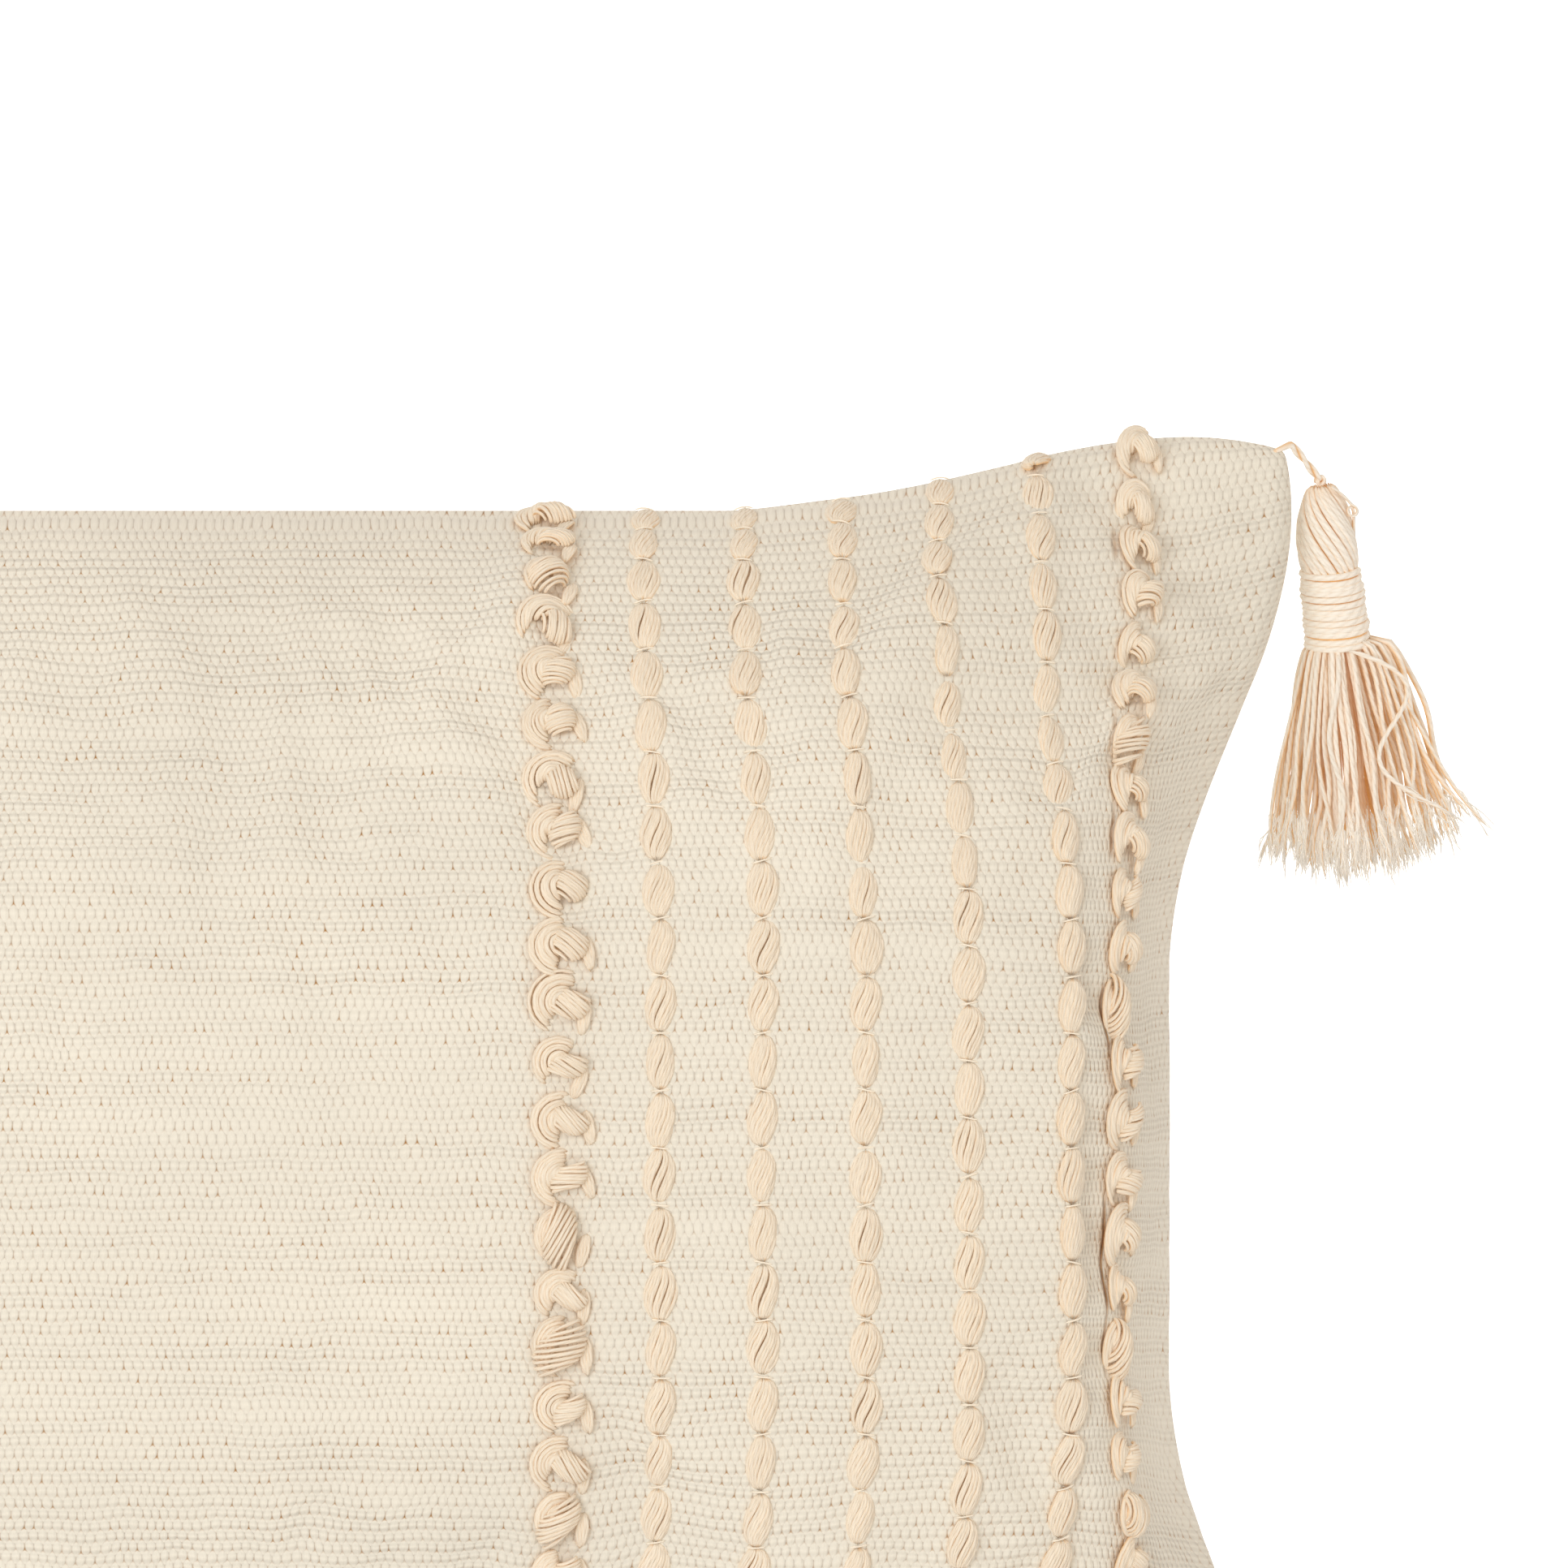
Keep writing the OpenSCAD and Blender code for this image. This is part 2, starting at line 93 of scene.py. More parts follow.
class CoverSettings(PropertyGroup):
    half_length: size("Half length", "From the middle to the ears, along X", 296)
    half_width: size("Half width", "From the middle to the ears, along Y", 181)
    seam_height: size("Seam height", "Height of the seam at the middle of each side", 62)
    ear_sink: size("Ear sink", "How far the seam sinks towards a corner", 34)
    front_swell: size("Front swell", "How far the front swells above the seam", 70)
    back_swell: size("Back swell", "How far the back would swell below the seam", 68)
    side_pull: size("Side pull", "How far the short sides pull in", 30)
    side_straight: size("Side straight", "Half of the straight stretch of a short side", 50)
    edge_pull: size("Edge pull", "How far the long edges pull in", 18)
    edge_straight: size("Edge straight", "Half of the straight stretch of a long edge", 165)
    ear_length: size("Ear length", "Length of an ear", 15)
    corner_cut: size("Corner cut", "How far the rounded corner falls short", 5)
    ear_puff: size("Ear puff", "How far the woven edge puffs out round an ear", 3)
    shoulder: FloatProperty(
        name="Shoulder", description="Share of the length where the sides turn down", default=0.78)
    cloth_slack: size("Cloth slack", "How much longer the cloth is than the pillow", 9)
    float_width: size("Float width", "Distance between two yarn floats of one rib", 2.3)
    float_length: size("Float length", "Distance between two ribs", 3.3)
    lip: size("Lip", "Height of each folded lip at the seam", 0.6)
    zip_slit: size("Zip slit", "Gap between the two lips along the zip", 1.6)
    zip_half: size("Zip half length", "From the middle to the end of the zip", 156)


class YarnSettings(PropertyGroup):
    row_inset: size("Row inset", "From the side seam to the outer row of loops", 40)
    row_pitch: size("Row pitch", "Distance between neighbouring rows", 25)
    stitch_pitch: size("Stitch pitch", "Distance between stitches along a row", 14)
    stitch_length: size("Stitch length", "Length of one flat stitch", 13.2)
    stitch_width: size("Stitch width", "Width of one flat stitch", 7.2)
    loop_width: size("Loop width", "Width across one curled loop", 14)
    strand: size("Strand", "Thickness of one strand of the tufting yarn", 1.35)
    crease: size("Crease", "From the outer row to the crease beside it", 5.5)


class TasselSettings(PropertyGroup):
    cord_length: size("Cord length", "From the corner to the head", 14)
    head_length: size("Head length", "Length of the folded head", 21)
    head_width: size("Head width", "Width of the folded head", 15)
    wrap_length: size("Neck length", "Length of the wound neck", 19)
    wrap_width: size("Neck width", "Width of the neck where it begins", 14)
    wrap_turns: IntProperty(name="Neck turns", description="Turns of thread round the neck", default=13)
    skirt_length: size("Skirt length", "Length of the cut yarns", 56)
    skirt_width: size("Skirt width", "Width of the skirt at its open end", 50)
    skirt_height: size("Skirt height", "Height of the skirt as it lies", 20)
    skirt_yarns: IntProperty(name="Skirt yarns", description="Number of cut yarns", default=120)


class ColourSettings(PropertyGroup):
    cotton: colour("Cotton", "Colour of the woven cover", "#f4efe1")
    # The slit colour is painted shade, down between the floats and in the crease.
    slit: colour("Slit", "Colour down between two floats", "#b8833f")
    tuft: colour("Tuft", "Colour of the tufting yarn", "#f8edda")
    yarn: colour("Yarn", "Colour of the tassel yarn", "#fef8ed")
    # Painted shade: the colour a yarn takes where it turns in between strands and in the groove between
    # plies.
    yarn_painted_shade: colour("Painted yarn shade", "Colour down between the strands", "#e8b878")
    yarn_glow: colour("Yarn glow", "Colour of the light that comes through the yarn", "#e9b270")
    casing: colour("Casing", "Colour of the inner casing", "#f3efe6")
    tape: colour("Tape", "Colour of the zip tape and coil", "#e8dcc6")
    metal: colour("Metal", "Colour of the zip slider and pull", "#b9b4aa")
    label: colour("Label", "Colour of the care label", "#f4f1ea")
    floor: colour("Floor", "Colour of the floor", "#fbfbfa")


# ---- nodes and materials ----
def add(tree, kind, links=None, **settings):
    """Adds a node. A setting is an attribute, or in_N for input N; links are {input: output}."""
    new = tree.nodes.new(kind)
    for key, value in settings.items():
        if key.startswith("in_"):
            new.inputs[int(key[3:])].default_value = value
        else:
            setattr(new, key, value)
    for key, source in (links or {}).items():
        tree.links.new(source, new.inputs[key])
    return new


def formula(tree, known, steps):
    """Adds a Math node for each step (name, operation, inputs); an input is a number or a known name."""
    for name, operation, *inputs in steps:
        links = {i: known[given] for i, given in enumerate(inputs) if isinstance(given, str)}
        numbers = {f"in_{i}": given for i, given in enumerate(inputs) if not isinstance(given, str)}
        known[name] = add(tree, "ShaderNodeMath", links, operation=operation, **numbers).outputs[0]
    return known


def new_material(name):
    """An empty node material with its output and a Principled shader."""
    material = bpy.data.materials.new(name)
    material.use_nodes = True
    tree = material.node_tree
    return material, tree, tree.nodes["Principled BSDF"]


def woven_cotton(name, sizes, crease_at, colours):
    """Undyed cotton in a ribbed plain weave: matt, slightly fuzzy, with painted shade in the dark slits
    between floats and in a crease, and a painted highlight on each float.
    """
    material, tree, shader = new_material(name)
    shader.inputs["Roughness"].default_value = 0.92
    shader.inputs["Sheen Weight"].default_value = 0.25
    shader.inputs["Sheen Roughness"].default_value = 0.6
    place = add(tree, "ShaderNodeUVMap", uv_map=CLOTH_MAP).outputs[0]
    # Yarns wander by up to half a millimetre, in waves of about 15 mm.
    wander = add(tree, "ShaderNodeTexNoise", {0: place}, noise_dimensions="2D", in_2=70.0, in_3=1.0)
    shift = add(tree, "ShaderNodeVectorMath", {0: wander.outputs[1]}, operation="MULTIPLY_ADD",
                in_1=(0.0022, 0.0018, 0), in_2=(-0.0011, -0.0009, 0))
    moved = add(tree, "ShaderNodeVectorMath", {0: place, 1: shift.outputs[0]}, operation="ADD")
    parts = add(tree, "ShaderNodeSeparateXYZ", {0: moved.outputs[0]})
    known = {"x": parts.outputs[0], "y": parts.outputs[1]}
    # Two sets of lens-shaped floats, each of which fills the gaps of the other.
    steps = [("across", "MULTIPLY", "x", 1 / sizes.float_width),
             ("rows", "MULTIPLY", "y", 1 / sizes.float_length), ("up", "MULTIPLY", "rows", 0.5)]
    for group, half in (("even", 0.0), ("odd", 0.5)):
        steps += [
            (group + "_x", "ADD", "across", half), (group + "_y", "ADD", "up", half),
            (group + "_fx", "FRACT", group + "_x"), (group + "_fy", "FRACT", group + "_y"),
            (group + "_dx", "MULTIPLY_ADD", group + "_fx", 1.84, -0.92),
            (group + "_dy", "MULTIPLY_ADD", group + "_fy", 2.7, -1.35),
            (group + "_x2", "MULTIPLY", group + "_dx", group + "_dx"),
            (group + "_y2", "MULTIPLY", group + "_dy", group + "_dy"),
            (group + "_r2", "ADD", group + "_x2", group + "_y2"), (group, "SUBTRACT", 1.0, group + "_r2")]
    steps += [("top", "MAXIMUM", "even", "odd"), ("pile", "MAXIMUM", "top", 0.0),
              ("float", "POWER", "pile", 0.55),
              ("turn", "MULTIPLY", "rows", 2 * math.pi), ("line", "COSINE", "turn"),
              ("double", "MULTIPLY_ADD", "across", 2.0, 0.5), ("slit_x", "FLOOR", "double"),
              ("half_on", "ADD", "rows", 0.5), ("slit_y", "FLOOR", "half_on"),
              ("above", "SUBTRACT", "rows", "slit_y")]
    formula(tree, known, steps)
    # Each slit is painted shade: it has its own darkness, and it is darkest at its lower end.
    slit_id = add(tree, "ShaderNodeCombineXYZ", {0: known["slit_x"], 1: known["slit_y"]})
    chance = add(tree, "ShaderNodeTexWhiteNoise", {0: slit_id.outputs[0]}, noise_dimensions="2D")
    bands = add(tree, "ShaderNodeMapping", {0: place}, vector_type="POINT", in_3=(9.0, 110.0, 1.0))
    band = add(tree, "ShaderNodeTexNoise", {0: bands.outputs[0]}, noise_dimensions="2D", in_2=1.0, in_3=2.0)
    known["chance"] = chance.outputs[0]
    known["band"] = band.outputs[0]
    formula(tree, known, [
        ("open", "MULTIPLY_ADD", "top", -2.1, 1.0), ("gap", "MAXIMUM", "open", 0.0),
        ("cut", "MINIMUM", "gap", 1.0),
        ("rare", "POWER", "chance", 4.0), ("some", "MULTIPLY_ADD", "rare", 0.7, 0.26),
        ("low", "MULTIPLY_ADD", "above", -1.7, 0.8), ("end", "MAXIMUM", "low", 0.1),
        ("band_on", "MULTIPLY_ADD", "band", 1.8, 0.1), ("dark", "MULTIPLY", "some", "band_on"),
        ("drop", "MULTIPLY", "dark", "end"), ("slit", "MULTIPLY", "cut", "drop")])
    # A crease runs beside each outer row of loops, deep in some stretches and shut in others. It is painted
    # shade in the slit colour, and the bump presses it in.
    stretch = add(tree, "ShaderNodeMapping", {0: place}, in_3=(4.0, 18.0, 1.0))
    patch = add(tree, "ShaderNodeTexNoise", {0: stretch.outputs[0]},
                noise_dimensions="2D", in_2=1.0, in_3=3.0)
    known["patch"] = patch.outputs[0]
    formula(tree, known, [
        ("beside", "ABSOLUTE", "x"), ("off", "SUBTRACT", "beside", crease_at),
        ("lean", "MULTIPLY_ADD", "patch", 4 * MM, -2 * MM), ("from", "ADD", "off", "lean"),
        ("near", "MULTIPLY", "from", 1 / (0.75 * MM)), ("near2", "MULTIPLY", "near", "near"),
        ("less", "MULTIPLY", "near2", -1.0), ("crest", "EXPONENT", "less"),
        ("deep", "MULTIPLY_ADD", "patch", 8.0, -4.0), ("deep0", "MAXIMUM", "deep", 0.0),
        ("deep1", "MINIMUM", "deep0", 0.95), ("crease", "MULTIPLY", "crest", "deep1"),
        ("stain", "MAXIMUM", "slit", "crease")])
    # Soft blotches, as in undyed cotton, a painted highlight on the top of each float, and a faint fibre
    # grain.
    blotch = add(tree, "ShaderNodeTexNoise", {0: place}, noise_dimensions="2D", in_2=14.0, in_3=3.0)
    grain = add(tree, "ShaderNodeMapping", {0: place}, in_3=(1500.0, 420.0, 1.0))
    fibres = add(tree, "ShaderNodeTexNoise", {0: grain.outputs[0]}, noise_dimensions="2D", in_2=1.0, in_3=2.0)
    known["blotch"] = blotch.outputs[0]
    known["fibre"] = fibres.outputs[0]
    formula(tree, known, [
        ("worn", "MULTIPLY_ADD", "blotch", 0.14, 0.9), ("lit", "MULTIPLY_ADD", "float", 0.05, "worn"),
        ("value", "MULTIPLY_ADD", "fibre", 0.04, "lit"), ("body", "SUBTRACT", "value", 0.02)])
    # The slits and the crease are painted shade, mixed into the cotton colour.
    base = add(tree, "ShaderNodeMix", {0: known["stain"]}, data_type="RGBA",
               in_6=(*colours.cotton, 1), in_7=(*colours.slit, 1))
    toned = add(tree, "ShaderNodeHueSaturation", {2: known["body"], 4: base.outputs[2]})
    tree.links.new(toned.outputs[0], shader.inputs["Base Color"])
    formula(tree, known, [
        ("rib_on", "MULTIPLY_ADD", "band", 0.8, 0.05), ("rib", "MULTIPLY_ADD", "line", "rib_on", "float"),
        ("hairs", "MULTIPLY_ADD", "fibre", 0.4, "rib"), ("relief", "MULTIPLY_ADD", "crease", -2.5, "hairs")])
    bump = add(tree, "ShaderNodeBump", {3: known["relief"]}, in_0=1.0, in_1=0.42 * MM)
    tree.links.new(bump.outputs[0], shader.inputs["Normal"])
    return material


def cotton_yarn(name, face, colours, ply, depth, through):
    """Loosely twisted cotton yarn: matt and fuzzy, with warm painted shade where it turns down between its
    neighbours.
    """
    material, tree, shader = new_material(name)
    shader.inputs["Roughness"].default_value = 0.95
    shader.inputs["Sheen Weight"].default_value = 0.3
    shader.inputs["Sheen Roughness"].default_value = 0.6
    place = add(tree, "ShaderNodeUVMap", uv_map=CLOTH_MAP).outputs[0]
    parts = add(tree, "ShaderNodeSeparateXYZ", {0: place})
    shade = add(tree, "ShaderNodeAttribute", attribute_name=SHADE)
    inward = add(tree, "ShaderNodeAttribute", attribute_name=DEPTH)
    fibre_place = add(tree, "ShaderNodeMapping", {0: place}, in_3=(9.0, 260.0, 1.0))
    fibre = add(tree, "ShaderNodeTexNoise", {0: fibre_place.outputs[0]},
                noise_dimensions="2D", in_2=1.0, in_3=2.0)
    known = {"round": parts.outputs[0], "along": parts.outputs[1], "shade": shade.outputs[2],
             "inward": inward.outputs[2], "fibre": fibre.outputs[0]}
    # Two plies lie side by side and turn once in each ply length. The groove between them, and the yarn where
    # it turns in between its neighbours, are painted shade.
    formula(tree, known, [
        ("turns", "MULTIPLY", "along", 1 / ply), ("twist", "MULTIPLY_ADD", "round", 2.0, "turns"),
        ("angle", "MULTIPLY", "twist", 2 * math.pi), ("wave", "SINE", "angle"),
        ("ply", "MULTIPLY_ADD", "wave", 0.5, 0.5), ("crest", "POWER", "ply", 0.5),
        ("deep", "SUBTRACT", 1.0, "crest"), ("furrow", "MULTIPLY", "deep", 0.12),
        ("hidden", "MAXIMUM", "inward", 0.0), ("less", "MULTIPLY", "inward", -1.0),
        ("loose", "MAXIMUM", "less", 0.0), ("outer", "SUBTRACT", 1.0, "hidden"),
        ("both", "MULTIPLY_ADD", "hidden", 1.0, "furrow"), ("mixed", "MINIMUM", "both", 1.0),
        ("warm", "MULTIPLY_ADD", "hidden", 0.1, through), ("glow", "MULTIPLY_ADD", "loose", 0.24, "warm"),
        ("tone", "MULTIPLY_ADD", "shade", 0.07, 0.93), ("body", "MULTIPLY_ADD", "fibre", 0.08, "tone"),
        ("value", "SUBTRACT", "body", 0.02), ("rope", "MULTIPLY_ADD", "fibre", 0.3, "crest")])
    # The painted shade mixes the deep yarn colour into the yarn's own colour.
    base = add(tree, "ShaderNodeMix", {0: known["mixed"]}, data_type="RGBA",
               in_6=(*face, 1), in_7=(*colours.yarn_painted_shade, 1))
    toned = add(tree, "ShaderNodeHueSaturation", {2: known["value"], 4: base.outputs[2]})
    tree.links.new(toned.outputs[0], shader.inputs["Base Color"])
    # A weak light of its own stands for the light that comes through the yarn.
    light = add(tree, "ShaderNodeMix", {0: known["outer"]}, data_type="RGBA",
                in_6=(*colours.yarn_glow, 1), in_7=(*face, 1))
    tree.links.new(light.outputs[2], shader.inputs["Emission Color"])
    tree.links.new(known["glow"], shader.inputs["Emission Strength"])
    bump = add(tree, "ShaderNodeBump", {3: known["rope"]}, in_0=0.7, in_1=depth)
    tree.links.new(bump.outputs[0], shader.inputs["Normal"])
    return material


def plain_cloth(name, base, thread):
    """A fine plain weave, too fine to show, drawn as coarse as it needs to be to show."""
    material, tree, shader = new_material(name)
    shader.inputs["Base Color"].default_value = (*base, 1)
    shader.inputs["Roughness"].default_value = 0.9
    place = add(tree, "ShaderNodeTexCoord").outputs[3]
    parts = add(tree, "ShaderNodeSeparateXYZ", {0: place})
    known = {"x": parts.outputs[0], "y": parts.outputs[1]}
    formula(tree, known, [
        ("ax", "MULTIPLY", "x", 2 * math.pi / thread), ("ay", "MULTIPLY", "y", 2 * math.pi / thread),
        ("sx", "SINE", "ax"), ("sy", "SINE", "ay"), ("weave", "MULTIPLY", "sx", "sy")])
    bump = add(tree, "ShaderNodeBump", {3: known["weave"]}, in_0=0.5, in_1=0.1 * MM)
    tree.links.new(bump.outputs[0], shader.inputs["Normal"])
    return material


def plated_zinc(name, base):
    """Die-cast zinc with a satin nickel plating: soft highlights over a faint cast texture."""
    material, tree, shader = new_material(name)
    shader.inputs["Base Color"].default_value = (*base, 1)
    shader.inputs["Metallic"].default_value = 1.0
    place = add(tree, "ShaderNodeTexCoord").outputs[3]
    cast = add(tree, "ShaderNodeTexNoise", {0: place}, in_2=900.0, in_3=2.0)
    known = formula(tree, {"cast": cast.outputs[0]}, [("rough", "MULTIPLY_ADD", "cast", 0.2, 0.25)])
    tree.links.new(known["rough"], shader.inputs["Roughness"])
    bump = add(tree, "ShaderNodeBump", {3: cast.outputs[0]}, in_0=0.3, in_1=0.05 * MM)
    tree.links.new(bump.outputs[0], shader.inputs["Normal"])
    return material


def painted_floor(name, base):
    """A white studio sweep, lit from under, so that no shadow shows on it."""
    material, _, shader = new_material(name)
    shader.inputs["Base Color"].default_value = (*base, 1)
    shader.inputs["Roughness"].default_value = 0.9
    shader.inputs["Specular IOR Level"].default_value = 0.1
    shader.inputs["Emission Color"].default_value = (1, 1, 1, 1)
    shader.inputs["Emission Strength"].default_value = 0.9
    return material


# ---- the cover's shape ----
def rise(at, straight, ear):
    """0 along the straight stretch of an edge, rising to 1 where the ear begins."""
    part = np.clip((np.abs(at) - straight) / (ear - straight), 0, 1)
    return np.sin(part * math.pi / 2) ** 2


def skin(cover, u, v, side):
    """Points of the cover at shares u and v of its cloth, from -1 to 1, on the front (1) or the back (-1)."""
    x, y = u * cover.half_length, v * cover.half_width
    edge_rise = rise(x, cover.edge_straight, cover.half_length - cover.ear_length)
    side_rise = rise(y, cover.side_straight, cover.half_width - cover.ear_length)
    cut = cover.corner_cut * np.abs(u * v) ** 18
    pulled = 1 - side_rise
    turned_down = (np.maximum(np.abs(u) - cover.shoulder, 0) / (1 - cover.shoulder)) ** 1.2
    flat_x = x + pulled * (cover.cloth_slack * u
                           - np.sign(u) * (cover.side_pull + cover.cloth_slack) * turned_down)
    flat_x = flat_x - np.sign(u) * (cut / 2 - cover.ear_puff / 2 * np.abs(u) ** 9 * side_rise)
    puff = np.clip((np.abs(u) - 0.48) / 0.14, 0, 1)
    puff = np.maximum(puff * puff * (3 - 2 * puff), np.where(v > 0, 0.35, 0))
    flat_y = y - np.sign(v) * (cover.edge_pull * (1 - edge_rise) * np.abs(v) ** 3 + cut)
    flat_y = flat_y + np.sign(v) * cover.ear_puff * puff * np.abs(v) ** 5
    seam = cover.seam_height - cover.ear_sink * edge_rise * side_rise
    swell = (1 - np.abs(u) ** 4) ** 0.6 * np.maximum(1 - np.abs(v) ** 2.2, 0) ** 0.5
    if side > 0:
        z = seam + cover.front_swell * swell
    else:
        z = np.maximum(seam - cover.back_swell * swell, 0)
    return np.stack([flat_x, flat_y, z], axis=-1)


def grid_shares():
    """Shares u and v of every point of the cover's grid, as two arrays."""
    return np.meshgrid(np.linspace(-1, 1, CELLS_LONG + 1), np.linspace(-1, 1, CELLS_WIDE + 1), indexing="ij")


def grid_index(vertices):
    """The grid place (i, j) of each vertex of a grid that runs from -1 to 1."""
    flat = np.zeros(len(vertices) * 3)
    vertices.foreach_get("co", flat)
    flat = flat.reshape(-1, 3)
    return (np.rint((flat[:, 0] + 1) / 2 * CELLS_LONG).astype(int),
            np.rint((flat[:, 1] + 1) / 2 * CELLS_WIDE).astype(int))


def flat_grid(cover, side):
    """A flat mesh of the cover's cells, from -1 to 1, that carries its place on the cloth as its UV."""
    bm = bmesh.new()
    cloth = bm.loops.layers.uv.new(CLOTH_MAP)
    bmesh.ops.create_grid(bm, x_segments=CELLS_LONG, y_segments=CELLS_WIDE, size=1.0)
    cloth_half = cover.half_length + cover.cloth_slack
    for face in bm.faces:
        for loop in face.loops:
            x, y = loop.vert.co.x, loop.vert.co.y
            loop[cloth].uv = (x * cloth_half, y * made["row_half"](x))
    if side < 0:
        bmesh.ops.reverse_faces(bm, faces=bm.faces)
    return bm


def row_half_lengths(cover):
    """How long half of the cloth is across the pillow, at each share u, as a function."""
    u, v = grid_shares()
    points = skin(cover, u, v, 1)
    steps = np.linalg.norm(np.diff(points, axis=1), axis=2).sum(axis=1) / 2
    # The cloth is cut straight, so only a little of the difference goes into it.
    even = steps.mean() + 0.5 * (steps - steps.mean())
    return lambda x: float(np.interp(x, u[:, 0], even))


def inflate(front, back):
    """Blows the cover up as cloth between its sewn edges, and gives back the two grids as they settle."""
    bm = bmesh.new()
    for side in (1, -1):
        half = bmesh.new()
        bmesh.ops.create_grid(half, x_segments=CELLS_LONG, y_segments=CELLS_WIDE, size=1.0)
        if side < 0:
            bmesh.ops.reverse_faces(half, faces=half.faces)
        mesh = bpy.data.meshes.new("half")
        half.to_mesh(mesh)
        half.free()
        bm.from_mesh(mesh)
        bpy.data.meshes.remove(mesh)
    mesh = bpy.data.meshes.new("blown")
    bm.to_mesh(mesh)
    bm.free()
    i, j = grid_index(mesh.vertices)
    count = (CELLS_LONG + 1) * (CELLS_WIDE + 1)
    start = np.where((np.arange(2 * count) < count)[:, None], front[i, j], back[i, j])
    mesh.vertices.foreach_set("co", start.ravel())
    bm = bmesh.new()
    bm.from_mesh(mesh)
    order = bm.verts.layers.int.new("order")
    for n, vertex in enumerate(bm.verts):
        vertex[order] = n
    bmesh.ops.remove_doubles(bm, verts=bm.verts, dist=0.01 * MM)
    kept = np.array([vertex[order] for vertex in bm.verts])
    bm.to_mesh(mesh)
    bm.free()
    blown = bpy.data.objects.new("blown", mesh)
    bpy.context.scene.collection.objects.link(blown)
    ki, kj = i[kept], j[kept]
    sewn = (ki == 0) | (kj == 0) | (ki == CELLS_LONG) | (kj == CELLS_WIDE)
    group = blown.vertex_groups.new(name="sewn")
    group.add([int(n) for n in np.flatnonzero(sewn)], 1.0, "REPLACE")
    modifier = blown.modifiers.new("Cloth", "CLOTH")
    cloth = modifier.settings
    cloth.quality = 5
    cloth.mass = 0.2
    cloth.tension_stiffness = 30
    cloth.compression_stiffness = 30
    cloth.shear_stiffness = 8
    cloth.bending_stiffness = 0.3
    cloth.shrink_min = -0.035
    cloth.vertex_group_mass = "sewn"
    cloth.use_pressure = True
    cloth.uniform_pressure_force = 2.0
    cloth.effector_weights.gravity = 0
    modifier.point_cache.frame_end = BLOWING_FRAMES
    for n in range(1, BLOWING_FRAMES + 1):
        bpy.context.scene.frame_set(n)
    settled = blown.evaluated_get(bpy.context.evaluated_depsgraph_get())
    end = np.zeros(len(mesh.vertices) * 3)
    settled.data.vertices.foreach_get("co", end)
    end = end.reshape(-1, 3)
    grids = [front.copy(), back.copy()]
    for side in (0, 1):
        chosen = (kept < count) == (side == 0)
        grids[side][ki[chosen], kj[chosen]] = end[chosen]
    bpy.data.objects.remove(blown)
    bpy.data.meshes.remove(mesh)
    bpy.context.scene.frame_set(1)
    return grids


def smoothed(grid, times):
    """A grid of points, each moved towards the mean of its neighbours."""
    for _ in range(times):
        wide = np.pad(grid, ((1, 1), (1, 1), (0, 0)), mode="reflect", reflect_type="odd")
        grid = (wide[2:, 1:-1] + wide[:-2, 1:-1] + wide[1:-1, 2:] + wide[1:-1, :-2] + 4 * grid) / 8
    return grid


def settled_cover(cover):
    """The front and back grids: the sewn shape with the folds that the blown cloth falls into."""
    u, v = grid_shares()
    plain = [skin(cover, u, v, 1), skin(cover, u, v, -1)]
    blown = inflate(*plain)
    done = []
    for start, end in zip(plain, blown):
        moved = end - start
        broad = smoothed(moved, BROAD_PASSES)
        folds = moved - broad
        reach = np.linalg.norm(folds, axis=2, keepdims=True)
        folds = folds * (FOLD_HEIGHT * np.tanh(reach / FOLD_HEIGHT) / np.maximum(reach, 1e-9))
        done.append(start + folds)
    done[1][..., 2] = np.maximum(done[1][..., 2], 0)
    return done


def normals_of(grid):
    """Unit normals of a grid of points."""
    along, across = np.gradient(grid, axis=0), np.gradient(grid, axis=1)
    out = np.cross(along, across)
    return out / np.maximum(np.linalg.norm(out, axis=2, keepdims=True), 1e-12)


def on_grid(grid, u, v):
    """Values of a grid at shares u and v, drawn between its points."""
    a = (np.asarray(u) + 1) / 2 * CELLS_LONG
    b = (np.asarray(v) + 1) / 2 * CELLS_WIDE
    i = np.clip(a.astype(int), 0, CELLS_LONG - 1)
    j = np.clip(b.astype(int), 0, CELLS_WIDE - 1)
    a, b = (a - i)[..., None], (b - j)[..., None]
    low = grid[i, j] * (1 - a) + grid[i + 1, j] * a
    high = grid[i, j + 1] * (1 - a) + grid[i + 1, j + 1] * a
    return low * (1 - b) + high * b


# ---- making objects ----
def finish_object(name, mesh, material, smooth=True):
    """Links a mesh as a finished object at the origin."""
    if smooth:
        mesh.shade_smooth()
    mesh.materials.append(material)
    piece = bpy.data.objects.new(name, mesh)
    bpy.context.scene.collection.objects.link(piece)
    return piece


def swept(paths, radii, sides):
    """Points round every path, and the directions they lie in: strand, ring, place round and coordinate."""
    ahead = np.gradient(paths, axis=1)
    ahead /= np.maximum(np.linalg.norm(ahead, axis=2, keepdims=True), 1e-12)
    out = np.zeros_like(paths)
    guess = np.where(np.abs(ahead[:, 0, 2:3]) < 0.9, [[0, 0, 1.0]], [[1.0, 0, 0]])
    for ring in range(paths.shape[1]):
        guess = guess - (guess * ahead[:, ring]).sum(axis=1, keepdims=True) * ahead[:, ring]
        guess /= np.maximum(np.linalg.norm(guess, axis=1, keepdims=True), 1e-12)
        out[:, ring] = guess
    beside = np.cross(ahead, out)
    angles = np.linspace(0, 2 * math.pi, sides + 1)[None, None, :, None]
    ring = np.cos(angles) * out[:, :, None] + np.sin(angles) * beside[:, :, None]
    return paths[:, :, None] + radii[:, :, None, None] * ring, ring


